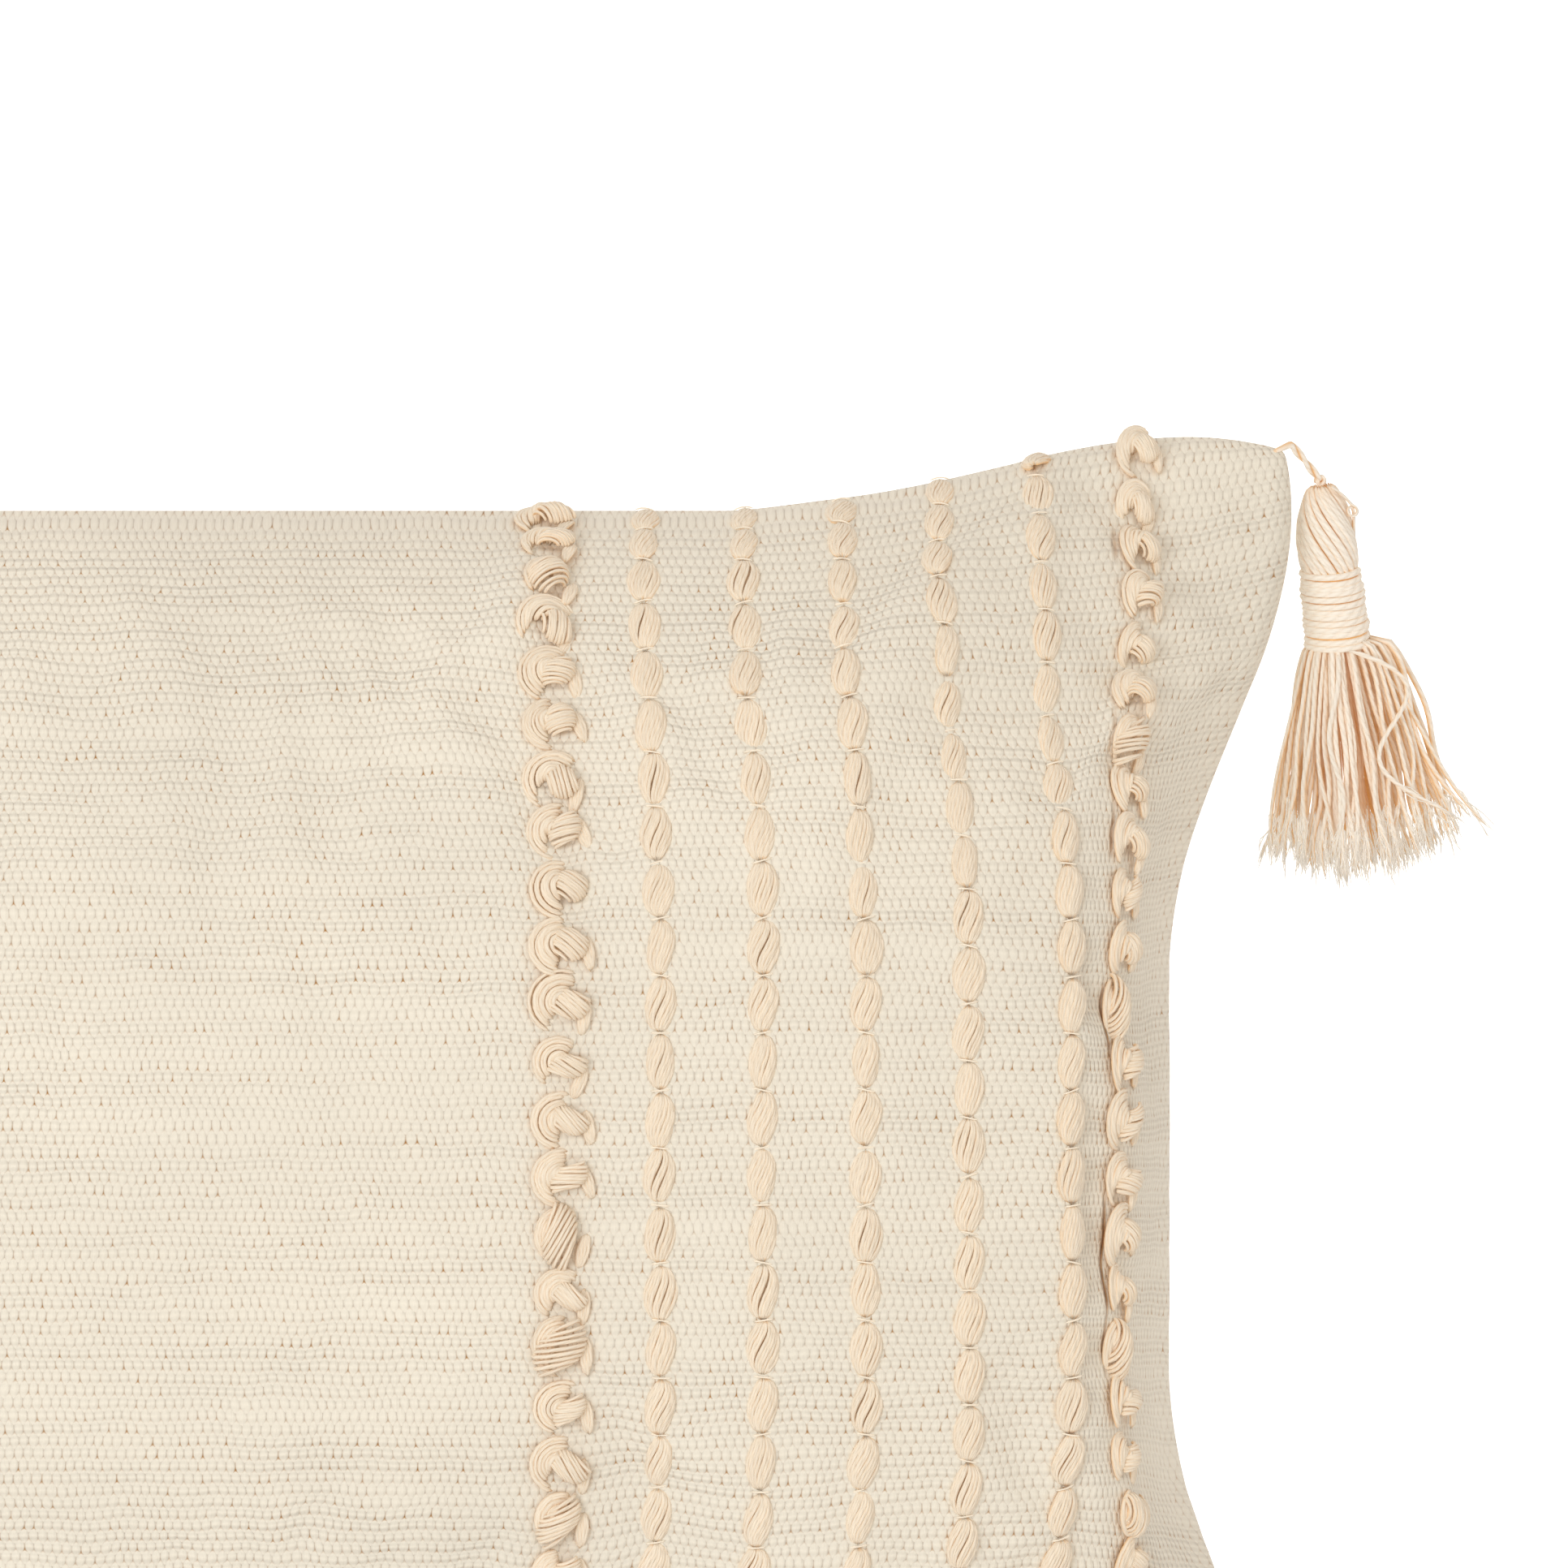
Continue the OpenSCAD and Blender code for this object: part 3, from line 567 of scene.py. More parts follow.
def yarn_mesh(name, bundles, material, seed):
    """One object of many strands. Each bundle is (paths, radii, sides, outward); a radius of 0 closes an end.

    outward points out of the bundle at each place, and it is shorter the deeper a strand lies. It is None for
    loose fibres, which light comes through from every side."""
    rng = np.random.default_rng(seed)
    bm = bmesh.new()
    bm.loops.layers.uv.new(CLOTH_MAP)
    places, uvs, shades, depths = [], [], [], []
    for paths, radii, sides, outward in bundles:
        count, rings = paths.shape[:2]
        loose = outward is None
        strip = bmesh.new()
        strip_uv = strip.loops.layers.uv.new(CLOTH_MAP)
        bmesh.ops.create_grid(strip, x_segments=sides, y_segments=rings - 1, size=1.0)
        for face in strip.faces:
            for loop in face.loops:
                loop[strip_uv].uv = ((loop.vert.co.x + 1) / 2, (loop.vert.co.y + 1) / 2)
        template = bpy.data.meshes.new("strip")
        strip.to_mesh(template)
        strip.free()
        flat = np.zeros(len(template.vertices) * 3)
        template.vertices.foreach_get("co", flat)
        flat = flat.reshape(-1, 3)
        column = np.rint((flat[:, 0] + 1) / 2 * sides).astype(int)
        row = np.rint((flat[:, 1] + 1) / 2 * (rings - 1)).astype(int)
        points, ring = swept(paths, radii, sides)
        places.append(points[:, row, column].reshape(-1, 3))
        # How far each point turns in between strands sets its painted shade; a loose fibre gets -1, which
        # gives it a glow instead.
        outward = np.broadcast_to(np.zeros(3) if outward is None else outward, paths.shape)
        lies_out = np.linalg.norm(outward, axis=2)[:, :, None]
        faces_out = (ring * outward[:, :, None]).sum(axis=3)
        depth = np.clip(1 - 0.4 * lies_out - 0.6 * faces_out, 0, 1) ** 2.4
        if loose:
            depth[:] = -1
        depths.append(depth[:, row, column].ravel())
        one = np.zeros(len(template.loops) * 2)
        template.uv_layers[CLOTH_MAP].data.foreach_get("uv", one)
        lengths = np.linalg.norm(np.diff(paths, axis=1), axis=2).sum(axis=1)
        all_uv = np.repeat(one.reshape(1, -1, 2), count, axis=0)
        all_uv[:, :, 1] = all_uv[:, :, 1] * lengths[:, None] + rng.random(count)[:, None]
        uvs.append(all_uv.reshape(-1, 2))
        shades.append(np.repeat(rng.random(count), len(template.vertices)))
        for _ in range(count):
            bm.from_mesh(template)
        bpy.data.meshes.remove(template)
    mesh = bpy.data.meshes.new(name)
    bm.to_mesh(mesh)
    bm.free()
    mesh.vertices.foreach_set("co", np.concatenate(places).ravel())
    mesh.uv_layers[CLOTH_MAP].data.foreach_set("uv", np.concatenate(uvs).ravel())
    for layer, values in ((SHADE, shades), (DEPTH, depths)):
        mesh.attributes.new(layer, "FLOAT", "POINT").data.foreach_set("value", np.concatenate(values))
    bm = bmesh.new()
    bm.from_mesh(mesh)
    bmesh.ops.remove_doubles(bm, verts=bm.verts, dist=0.002 * MM)
    bm.to_mesh(mesh)
    bm.free()
    return finish_object(name, mesh, material)


def panel(context, side):
    """One half of the cover, with its edge turned in along the seam."""
    cover, colours = context.scene.pillow_cover, context.scene.pillow_colours
    grid = made["front"] if side > 0 else made["back"]
    bm = flat_grid(cover, side)
    for vertex in bm.verts:
        x, y = vertex.co.x, vertex.co.y
        i, j = round((x + 1) / 2 * CELLS_LONG), round((y + 1) / 2 * CELLS_WIDE)
        edge = i in (0, CELLS_LONG) or j in (0, CELLS_WIDE)
        place = Vector(grid[i, j])
        if edge:
            beyond = abs(x) * cover.half_length - cover.zip_half
            opened = min(max(1 - beyond / (6 * MM), 0), 1) if j == 0 else 0
            place.z += side * (cover.lip + opened * (cover.zip_slit / 2 - cover.lip))
        vertex.co = place
    # The edge turns in at the seam: a short lip, and then the allowance inside.
    rim = [edge for edge in bm.edges if edge.is_boundary]
    for inset, drop in ((1.2 * MM, 0.9), (4 * MM, 0.2)):
        new = bmesh.ops.extrude_edge_only(bm, edges=rim)["geom"]
        rim = [item for item in new if isinstance(item, bmesh.types.BMEdge) and item.is_boundary]
        for vertex in {v for edge in rim for v in edge.verts}:
            x, y = vertex.co.x, vertex.co.y
            inward = -Vector((max(abs(x) - 0.245, 0) * math.copysign(1, x), max(abs(y) - 0.14, 0)
                              * math.copysign(1, y), 0))
            if inward.length > 0:
                vertex.co += inward.normalized() * inset
            vertex.co.z -= side * cover.lip * drop
    bmesh.ops.recalc_face_normals(bm, faces=bm.faces)
    middle = max(bm.faces, key=lambda face: side * face.calc_center_median().z)
    if middle.normal.z * side < 0:
        bmesh.ops.reverse_faces(bm, faces=bm.faces)
    name = "front_cover" if side > 0 else "back_cover"
    mesh = bpy.data.meshes.new(name)
    bm.to_mesh(mesh)
    bm.free()
    outer = cover.half_length + cover.cloth_slack - context.scene.pillow_yarn.row_inset
    crease_at = outer - context.scene.pillow_yarn.crease if side > 0 else 2 * cover.half_length
    piece = finish_object(name, mesh, woven_cotton(f"Woven cotton, {name}", cover, crease_at, colours))
    finer = piece.modifiers.new("Finer", "SUBSURF")
    finer.levels = finer.render_levels = 1
    finer.boundary_smooth = "PRESERVE_CORNERS"
    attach(piece, "pillow")
    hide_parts("front_panel" if side > 0 else "back_panel")
    return piece


def row_places(context, dist, side):
    """Frames (4 x 4 matrices) of the stitches of one row: Y along the row, Z out of the cloth."""
    cover, yarn = context.scene.pillow_cover, context.scene.pillow_yarn
    u = side * dist / (cover.half_length + cover.cloth_slack)
    v = np.linspace(-1, 1, 1201)
    points = on_grid(made["front"], np.full_like(v, u), v)
    outward = on_grid(made["normals"], np.full_like(v, u), v)
    run = np.concatenate([[0], np.cumsum(np.linalg.norm(np.diff(points, axis=0), axis=1))])
    count = int(run[-1] / yarn.stitch_pitch)
    at = run[-1] / 2 + (np.arange(count) - (count - 1) / 2) * yarn.stitch_pitch
    frames = np.zeros((count, 4, 4))
    step = 2 * MM
    for n, distance in enumerate(at):
        here, ahead, behind = (np.array([np.interp(d, run, points[:, c]) for c in range(3)])
                               for d in (distance, distance + step, distance - step))
        z = np.array([np.interp(distance, run, outward[:, c]) for c in range(3)])
        y = ahead - behind
        y /= np.linalg.norm(y)
        z = z - y * (z @ y)
        z /= np.linalg.norm(z)
        frames[n, :3, 0], frames[n, :3, 1], frames[n, :3, 2], frames[n, :3, 3] = np.cross(y, z), y, z, here
        frames[n, 3, 3] = 1
    return frames


def placed(frames, paths):
    """Paths of shape (item, strand, ring, 3) in the frames of their items, as (item x strand, ring, 3)."""
    turned = np.einsum("nij,nkrj->nkri", frames[:, :3, :3], paths) + frames[:, None, None, :3, 3]
    return turned.reshape(-1, *paths.shape[2:])


def row_piece(context, name, bundles, seed):
    """One row of yarn as a finished piece on the pillow."""
    colours = context.scene.pillow_colours
    material = bpy.data.materials.get("Tufted cotton yarn") or cotton_yarn(
        "Tufted cotton yarn", colours.tuft, colours, 4 * MM, 0.2 * MM, THROUGH_TUFT)
    piece = yarn_mesh(name + "_yarn", bundles, material, seed)
    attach(piece, "pillow")
    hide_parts(name)
    return piece


def outward_of(frames, strands):
    """The direction out of the cloth for each strand of each item, as (item x strand, 1, 3)."""
    return np.repeat(frames[:, :3, 2], strands, axis=0)[:, None, :]


def stitch_row(context, name, dist, side, seed):
    """A row of short flat stitches: lenses of slanting strands, each held down by a thread at its ends."""
    yarn = context.scene.pillow_yarn
    rng = np.random.default_rng(seed)
    frames = row_places(context, dist, side)
    count, strands, rings = len(frames), 12, 11
    t = np.linspace(-1, 1, rings)[None, None, :]
    plump = rng.uniform(0.88, 1.1, (count, 1, 1))
    start = np.radians(210) * (np.arange(strands)[None, :, None] + 0.5) / strands - np.radians(15)
    start = start + rng.uniform(-0.09, 0.09, (count, strands, 1))
    angle = start - t * rng.uniform(0.45, 0.95, (count, 1, 1))
    lens = np.maximum(1 - np.abs(t) ** 2.1, 0) ** 0.8
    lumpy = 1 + rng.uniform(-0.09, 0.09, (count, strands, 1)) * lens
    wide = (yarn.stitch_width / 2 - 0.3 * MM) * plump * (0.15 + 0.85 * lens)
    skew = t * rng.uniform(0.2, 1.1, (count, 1, 1)) * MM  # the stitch leans, as its strands do
    x = wide * np.cos(angle) * lumpy + skew * lens
    y = t * (yarn.stitch_length / 2 + 0.4 * MM) * (1 + 0 * x) + rng.uniform(-0.4, 0.4, (count, 1, 1)) * MM
    z = 1.5 * MM * (0.2 + 0.8 * lens) * np.sin(angle) * lumpy - 0.35 * MM
    paths = placed(frames, np.stack([x, y, z], axis=-1))
    radii = np.tile(0.42 * yarn.strand * (0.7 + 0.3 * lens[0, 0]), (count * strands, 1))
    radii *= rng.uniform(0.85, 1.12, (count * strands, 1))
    radii[:, [0, -1]] = 0
    # The thin thread crosses the row where two stitches meet.
    s = np.linspace(-1, 1, 7)[None, None, :]
    lean = rng.uniform(-0.7, 0.9, (count, 1, 1)) * MM
    cross = np.stack([
        s * 2.7 * MM + 0 * lean, s * lean + yarn.stitch_pitch / 2,
        0 * lean + (0.8 * (1 - s ** 2) - 0.2) * MM], axis=-1)
    thread = placed(frames, cross)
    thin = np.full(thread.shape[:2], 0.2 * MM)
    thin[:, [0, -1]] = 0
    out = outward_of(frames, strands)
    # The thread has no outward direction, so it takes no painted shade between strands and glows as a loose
    # fibre does.
    return row_piece(context, name, [(paths, radii, 5, out), (thread, thin, 4, None)], seed)


def loop_row(context, name, dist, side, seed, slim=1.0):
    """A row of curled loops: a fan of strands curls over into a ball, with a short float beside it."""
    yarn = context.scene.pillow_yarn
    rng = np.random.default_rng(seed)
    frames = row_places(context, dist, side)
    count = len(frames)

    def drawn(low, high, strands=1):
        return rng.uniform(low, high, (count, strands, 1))

    reach = yarn.loop_width / 2
    dome = np.where(rng.random((count, 1, 1)) < 0.16, 1.0, 0.0)  # a few loops are one wide dome
    bulk = drawn(0.88, 1.12)
    tilt = drawn(-0.4, 0.4)
    shift_y = drawn(-0.8, 0.8) * MM

    def laid(x, y, z, strands, radius, sides):
        turned_x = (x * np.cos(tilt) - y * np.sin(tilt)) * slim
        turned_y = x * np.sin(tilt) + y * np.cos(tilt) + shift_y
        paths = placed(frames, np.stack([turned_x, turned_y, z], axis=-1))
        radii = np.ones(paths.shape[:2]) * radius * rng.uniform(0.86, 1.12, (len(paths), 1))
        radii[:, [0, -1]] = 0
        return paths, radii, sides, outward_of(frames, strands)

    # The fan: nested arcs that rise at the lower left, go round the left and over the top.
    fan = 8
    t = np.linspace(0, 1, 15)[None, None, :]
    k = np.arange(fan)[None, :, None]
    opened = drawn(0.0, 11.0)
    theta = np.radians(252 - opened * k) + drawn(-0.15, 0.15) + drawn(-0.1, 0.1, fan)
    theta = theta - t * (np.radians(195 - opened * k) + drawn(-0.3, 0.3))
    radius = reach * (1.08 - (0.112 + drawn(-0.015, 0.02)) * k - drawn(0.05, 0.3) * t ** 2) * bulk
    radius = radius + drawn(-0.3, 0.3, fan) * MM
    x = 1.2 * MM + radius * np.cos(theta) * (1.0 - 0.12 * dome)
    y = radius * np.sin(theta) * 0.94
    high = 1.6 + 0.36 * k + drawn(-0.35, 0.35, fan)
    z = np.sin(math.pi * np.clip(t * 1.02, 0, 1)) ** 0.55 * high * MM * bulk
    bundles = [laid(x, y, z - 0.3 * MM + 0 * x, fan, 0.42 * yarn.strand, 6)]
    # The ball: strands side by side over a rounded knot, a little curled.
    ball = 9
    t = np.linspace(-1, 1, 13)[None, None, :]
    o = 0.92 * (2 * (np.arange(ball)[None, :, None] + 0.5) / ball - 1) + drawn(-0.05, 0.05, ball)
    heading = np.radians(-50) + drawn(-0.7, 0.7) + dome * np.radians(60)
    ball_r = (3.7 * MM + dome * 1.7 * MM) * bulk
    swing = t * 1.75 + drawn(-0.1, 0.1, ball)
    curl = o + drawn(0.1, 0.5) * np.sin(swing) + drawn(-0.06, 0.06, ball) * np.cos(swing)
    width = np.sqrt(np.maximum(1 - o ** 2, 0.05))
    ahead, beside = width * np.sin(swing), curl
    x = 2.7 * MM - dome * 2.2 * MM + ball_r * (ahead * np.cos(heading) - beside * np.sin(heading))
    y = -0.6 * MM + 1.08 * ball_r * (ahead * np.sin(heading) + beside * np.cos(heading))
    z = 1.6 * MM + 0.85 * ball_r * width * np.cos(swing) - dome * 0.8 * MM
    bundles.append(laid(x, y, z, ball, 0.38 * yarn.strand, 5))
    # The float: a few short strands to the right, where the yarn goes back into the cloth.
    few = 4
    t = np.linspace(-1, 1, 9)[None, None, :]
    k = np.arange(few)[None, :, None] - 1.5
    x = (6.6 + 0.75 * k * (1 - t ** 2) + drawn(-0.3, 0.3) + 0.3 * t) * MM
    y = (t * 4.6 - 3.2 + drawn(-0.5, 0.5, few)) * MM
    z = (1.5 * (1 - t ** 2) ** 0.7 - 0.35 - 0.12 * np.abs(k)) * MM + 0 * x
    bundles.append(laid(x, y, z, few, 0.4 * yarn.strand, 5))
    return row_piece(context, name, bundles, seed)


# ---- tassels ----
def tassel_frames(context, corner):
    """Frames of one tassel: of its cord at the corner, and of the rest, with X towards the skirt."""
    k = CORNERS.index(corner)
    side, end = (-1 if k % 2 == 0 else 1), (1 if k < 2 else -1)
    tassel, cover = context.scene.pillow_tassel, context.scene.pillow_cover
    tip = skin(cover, np.array(float(side)), np.array(float(end)), 1)
    off = 1.8 * MM * 0.7
    corner_at = Vector((tip[0] + side * off, tip[1] + end * off, tip[2]))

    def aimed(at, lean, down):
        turn = Matrix.Rotation(math.radians(side * lean - 90), 4, "Z")
        return Matrix.Translation(at) @ turn @ Matrix.Rotation(math.radians(down), 4, "Y")

    cord = aimed(corner_at, 40, 35)
    hang = cord @ Vector((tassel.cord_length, 0, 0))
    total = 1.6 * MM + tassel.head_length + tassel.wrap_length + tassel.skirt_length
    slope = math.degrees(math.asin((hang.z - tassel.skirt_height / 2) / total))
    return cord, aimed(hang, 6.5 if k < 2 else 20, slope)


def moved(matrix, paths):
    """Paths of points moved by a matrix."""
    m = np.array(matrix)
    return paths @ m[:3, :3].T + m[:3, 3]


def across_axis(paths, matrix, reach):
    """How far out of a tassel a yarn lies, as a direction that is 1 long at the distance reach."""
    m = np.array(matrix)
    local = (paths - m[:3, 3]) @ m[:3, :3]
    local[..., 0] = 0
    far = np.linalg.norm(local, axis=2, keepdims=True)
    local = local / np.maximum(far, 1e-9) * np.clip(far / reach, 0, 1)
    return local @ m[:3, :3].T


def tassel_cord(context, corner, seed):
    """Two strands twisted together, from inside the corner to a small knot at the head."""
    tassel = context.scene.pillow_tassel
    rng = np.random.default_rng(seed)
    cord, _ = tassel_frames(context, corner)
    rings = 44
    t = np.linspace(0, 1, rings)
    start = -3.5 * MM
    paths = []
    for phase in (0, math.pi):
        turn = phase + t * 2 * math.pi * 1.3
        off = 0.48 * MM
        paths.append(np.stack([
            start + t * (tassel.cord_length - start), off * np.cos(turn), off * np.sin(turn)], axis=-1))
    paths = moved(cord, np.array(paths))
    # The part before the corner bends in, so that the cord comes out of the seam.
    corner_at = np.array(cord.translation)
    hidden = np.clip(1 - t * (tassel.cord_length - start) / -start, 0, 1)[None, :, None]
    paths -= hidden * [math.copysign(2.6 * MM, corner_at[0]), math.copysign(4.2 * MM, corner_at[1]), 0]
    radii = np.full((2, rings), 0.64 * MM)
    radii[:, [0, -1]] = 0
    # The knot at the head: a small coil of the same strand.
    turns = np.linspace(0, 2 * math.pi * 2.2, rings)
    lean = rng.uniform(-0.5, 0.5)
    knot = moved(cord, np.stack([
        tassel.cord_length + 0.85 * MM * np.sin(turns) * math.cos(lean), 0.95 * MM * np.cos(turns),
        0.85 * MM * np.sin(turns * 0.5 + lean)], axis=-1)[None])
    knot_radii = np.full((1, rings), 0.58 * MM)
    knot_radii[:, [0, -1]] = 0
    return [(paths, radii, 8, across_axis(paths, cord, 0.5 * MM)),
            (knot, knot_radii, 8, across_axis(knot, cord, MM))]


def core(matrix, start, end, radii):
    """A plain filling along the axis of a tassel, that shuts the gaps between its yarns. It is painted shade:
    it takes the deep yarn colour all over, and the warm glow.
    """
    rings = len(radii) + 2
    x = np.concatenate([[start], np.linspace(start, end, rings - 2), [end]])
    x[1] += 0.01 * MM
    x[-2] -= 0.01 * MM
    path = moved(matrix, np.stack([x, 0 * x, 0 * x], axis=-1)[None])
    return path, np.concatenate([[0], radii, [0]])[None], 24, np.zeros(3)


def tassel_head(context, corner, seed):
    """The folded top: strands that run down over the head in a slow twist, and a stray loop beside it."""
    tassel = context.scene.pillow_tassel
    rng = np.random.default_rng(seed)
    _, rest = tassel_frames(context, corner)
    mirror = 1 if corner.endswith("right") else -1
    strands, rings = 30, 22
    t = np.linspace(0, 1.14, rings)[None, :]
    number = np.arange(strands)[:, None]
    angle = 2 * math.pi * number / strands - mirror * 1.7 * t + rng.uniform(-0.09, 0.09, (strands, 1))
    half = tassel.head_width / 2 - 0.6 * MM
    profile = np.sin(math.pi * np.clip(0.04 + 0.64 * t, 0, 1)) ** 0.5
    bulge = half * profile * (1 + rng.uniform(-0.06, 0.03, (strands, 1)) * np.sin(math.pi * np.clip(t, 0, 1)))
    x = 1.6 * MM + tassel.head_length * (t - 0.02) + rng.uniform(-0.3, 0.3, (strands, 1)) * MM
    paths = moved(rest, np.stack([x + 0 * angle, bulge * np.cos(angle), bulge * np.sin(angle)], axis=-1))
    radii = np.full((strands, rings), 0.8 * MM) * (0.5 + 0.5 * profile)
    radii[:, [0, -1]] = 0
    shares = np.linspace(0, 1.1, 14)
    inner = (half - 0.4 * MM) * np.sin(math.pi * (0.04 + 0.64 * shares)) ** 0.5 - 0.3 * MM
    start = 2.0 * MM
    # The tail of the cord lies beside the head in a small open ring, and runs down into the neck.
    s = np.linspace(0, 1, 44)
    turn = 2 * math.pi * np.clip((s - 0.3) / 0.3, 0, 1)
    run = np.where(s < 0.3, s / 0.3 * 5.8, np.where(s < 0.6, 5.8, 5.8 + (s - 0.6) / 0.4 * 13)) * MM
    ring = 1.5 * MM
    tail = np.stack([
        1.2 * MM + run + ring * (1 - np.cos(turn)) * 0.9,
        mirror * (2.2 * MM + 5.4 * MM * np.sin(np.minimum(run / (8 * MM), 1) * math.pi / 2)
                  + ring * np.sin(turn) * 0.9 - 1.3 * MM * np.maximum(s - 0.6, 0) / 0.4),
        4.6 * MM - 3.0 * MM * np.minimum(run / (9 * MM), 1) + 0.8 * MM * np.sin(turn / 2)], axis=-1)[None]
    for _ in range(2):
        tail[:, 1:-1] = (tail[:, 2:] + tail[:, :-2] + 2 * tail[:, 1:-1]) / 4
    tail = moved(rest, tail)
    tail_radii = np.full((1, 44), 0.42 * MM)
    tail_radii[:, [0, -1]] = 0
    return [(paths, radii, 6, across_axis(paths, rest, half)), core(rest, start, start + 23 * MM, inner),
            (tail, tail_radii, 6, across_axis(tail, rest, half))]


def tassel_wrap(context, corner, seed):
    """The wound neck: one thread in close, slightly uneven turns."""
    tassel = context.scene.pillow_tassel
    rng = np.random.default_rng(seed)
    _, rest = tassel_frames(context, corner)
    steps = 26
    turns = tassel.wrap_turns
    t = np.linspace(0, 1, turns * steps + 1)
    pitch = tassel.wrap_length / turns
    wander = np.interp(t * turns, np.arange(turns + 1), rng.uniform(-0.25, 0.25, turns + 1)) * pitch
    begin = 1.6 * MM + tassel.head_length
    narrow = tassel.wrap_width / 2 - 0.1 * MM
    radius = narrow + 1.0 * MM * t + np.interp(
        t * turns, np.arange(turns + 1), rng.uniform(-0.3, 0.3, turns + 1)) * MM
    angle = 2 * math.pi * turns * t
    x = begin + tassel.wrap_length * t + wander + 1.3 * MM * np.sin(angle + 0.5)
    path = moved(rest, np.stack([x, radius * np.cos(angle), radius * np.sin(angle)], axis=-1)[None])
    radii = np.full((1, len(t)), pitch * 0.56)
    radii[:, [0, -1]] = 0
    inner = np.linspace(narrow - 0.3 * MM, narrow + 0.7 * MM, 8)
    return [(path, radii, 7, across_axis(path, rest, narrow)),
            core(rest, begin + 0.3 * MM, begin + tassel.wrap_length - 0.3 * MM, inner)]


def tassel_skirt(context, corner, seed):
    """The cut yarns: they bulge out under the neck, fall in waves, and untwist into fibres at their ends."""
    tassel = context.scene.pillow_tassel
    rng = np.random.default_rng(seed)
    _, rest = tassel_frames(context, corner)
    mirror = 1 if corner.endswith("right") else -1
    count, rings = tassel.skirt_yarns, 22
    begin = 1.6 * MM + tassel.head_length + tassel.wrap_length - 2.0 * MM
    share = np.sqrt((np.arange(count) + 0.5) / count)[:, None]
    around = (np.arange(count) * math.pi * (3 - math.sqrt(5)))[:, None] + rng.uniform(-0.2, 0.2, (count, 1))
    long = tassel.skirt_length * rng.uniform(0.93, 1.05, (count, 1))
    t = np.linspace(0, 1, rings)[None, :]
    neck = tassel.wrap_width / 2 + 0.3 * MM
    outer_side = mirror * np.cos(around) * share  # the outer side bulges out sooner than the inner side
    out_of_neck = t ** (0.5 + 0.1 * rng.random((count, 1)) - 0.22 * outer_side)
    half_w = neck + (tassel.skirt_width / 2 - neck) * out_of_neck
    half_h = neck + (tassel.skirt_height / 2 + 0.5 * MM - neck) * t ** 0.35
    slow, fast, lifted = rng.normal(0, 1, (3, count, 1))
    phase = rng.uniform(0, 2 * math.pi, (3, count, 1))
    waves = t ** 0.7 * (1.8 * slow * np.sin(math.pi * 1.6 * t + phase[0]) + 0.6 * fast * np.sin(
        math.pi * 4.5 * t + phase[1])) * MM
    x = begin + (long + 2.0 * MM) * t * (1 - 0.14 * (share * np.abs(np.cos(around))) ** 2 * t)
    y = half_w * share * np.cos(around) + waves
    z = half_h * share * np.sin(around) * 0.95 + t * 0.6 * lifted * np.sin(math.pi * t + phase[2]) * MM
    # A few strays: wave height, wave length, spread, how far out they start, and how high they lie.
    strays = ((7.0, 40.0, 15.0, 8.0, 1.0), (1.5, 60.0, 29.0, 9.5, 0.35), (-1.2, 45.0, 17.0, 9.5, 0.15),
              (1.2, 50.0, -12.0, -9.0, 0.3), (-1.6, 38.0, -14.0, -9.0, -0.2), (1.4, 30.0, -3.0, -3.0, 0.95))
    for wave, length, spread, off, high in strays:
        own = np.linspace(0, 1, rings) * rng.uniform(0.8, 0.98)
        down = own * tassel.skirt_length
        side_y = off * MM * (1 - np.exp(-12 * own)) + wave * MM * np.sin(2 * math.pi * down / (length * MM))
        side_y = side_y + spread * MM * own ** 1.5
        room = neck + (tassel.skirt_height / 2 + 1.4 * MM - neck) * own ** 0.35
        stray = np.stack([begin + 2 * MM + down, mirror * side_y, room * high * (1 + 0 * own)], axis=-1)
        x = np.concatenate([x, stray[None, :, 0]])
        y = np.concatenate([y, stray[None, :, 1]])
        z = np.concatenate([z, stray[None, :, 2]])
    total = len(x)
    paths = moved(rest, np.stack([x, y, z], axis=-1))
    thick = 0.7 * MM * rng.uniform(0.85, 1.12, (total, 1))
    radii = thick * (1 - 0.72 * np.clip((t - 0.72) / 0.28, 0, 1) ** 1.3)
    radii[:, [0, -1]] = 0
    paths[..., 2] = np.maximum(paths[..., 2], 0.75 * MM)
    # Every yarn untwists into loose fibres over its last part.
    fibres, steps = 7, 7
    s = np.linspace(0, 1, steps)[None, None, :, None]
    root, end = paths[:, None, None, -6], paths[:, None, None, -1]
    reach = rng.uniform(0.85, 1.22, (total, fibres, 1, 1))
    splay = rng.normal(0, 1, (total, fibres, 1, 3)) * [0.8 * MM, 1.5 * MM, 0.7 * MM]
    kink = rng.normal(0, 0.5 * MM, (total, fibres, 1, 3)) * np.sin(2.2 * math.pi * s)
    loose = (root + (end - root) * reach * s + splay * s ** 1.4 + kink).reshape(-1, steps, 3)
    loose[..., 2] = np.maximum(loose[..., 2], 0.3 * MM)
    fine = np.full((total * fibres, steps), 0.2 * MM) * np.linspace(1.1, 0.6, steps)
    fine[:, [0, -1]] = 0
    reach_out = tassel.skirt_height / 2
    return [(paths, radii, 6, across_axis(paths, rest, reach_out)),
            (loose, fine, 3, None)]


TASSEL_PARTS = {"cord": tassel_cord, "head": tassel_head, "wrap": tassel_wrap, "skirt": tassel_skirt}


# ---- operators ----
class PILLOW_OT_cover(Operator):
    """Make the front and back of the woven cover"""
    bl_idname = "pillow.cover"
    bl_label = "Cover"

    def execute(self, context):
        cover = context.scene.pillow_cover
        made["row_half"] = row_half_lengths(cover)
        made["front"], made["back"] = settled_cover(cover)
        made["normals"] = normals_of(made["front"])
        for side in (1, -1):
            panel(context, side)
        return {"FINISHED"}


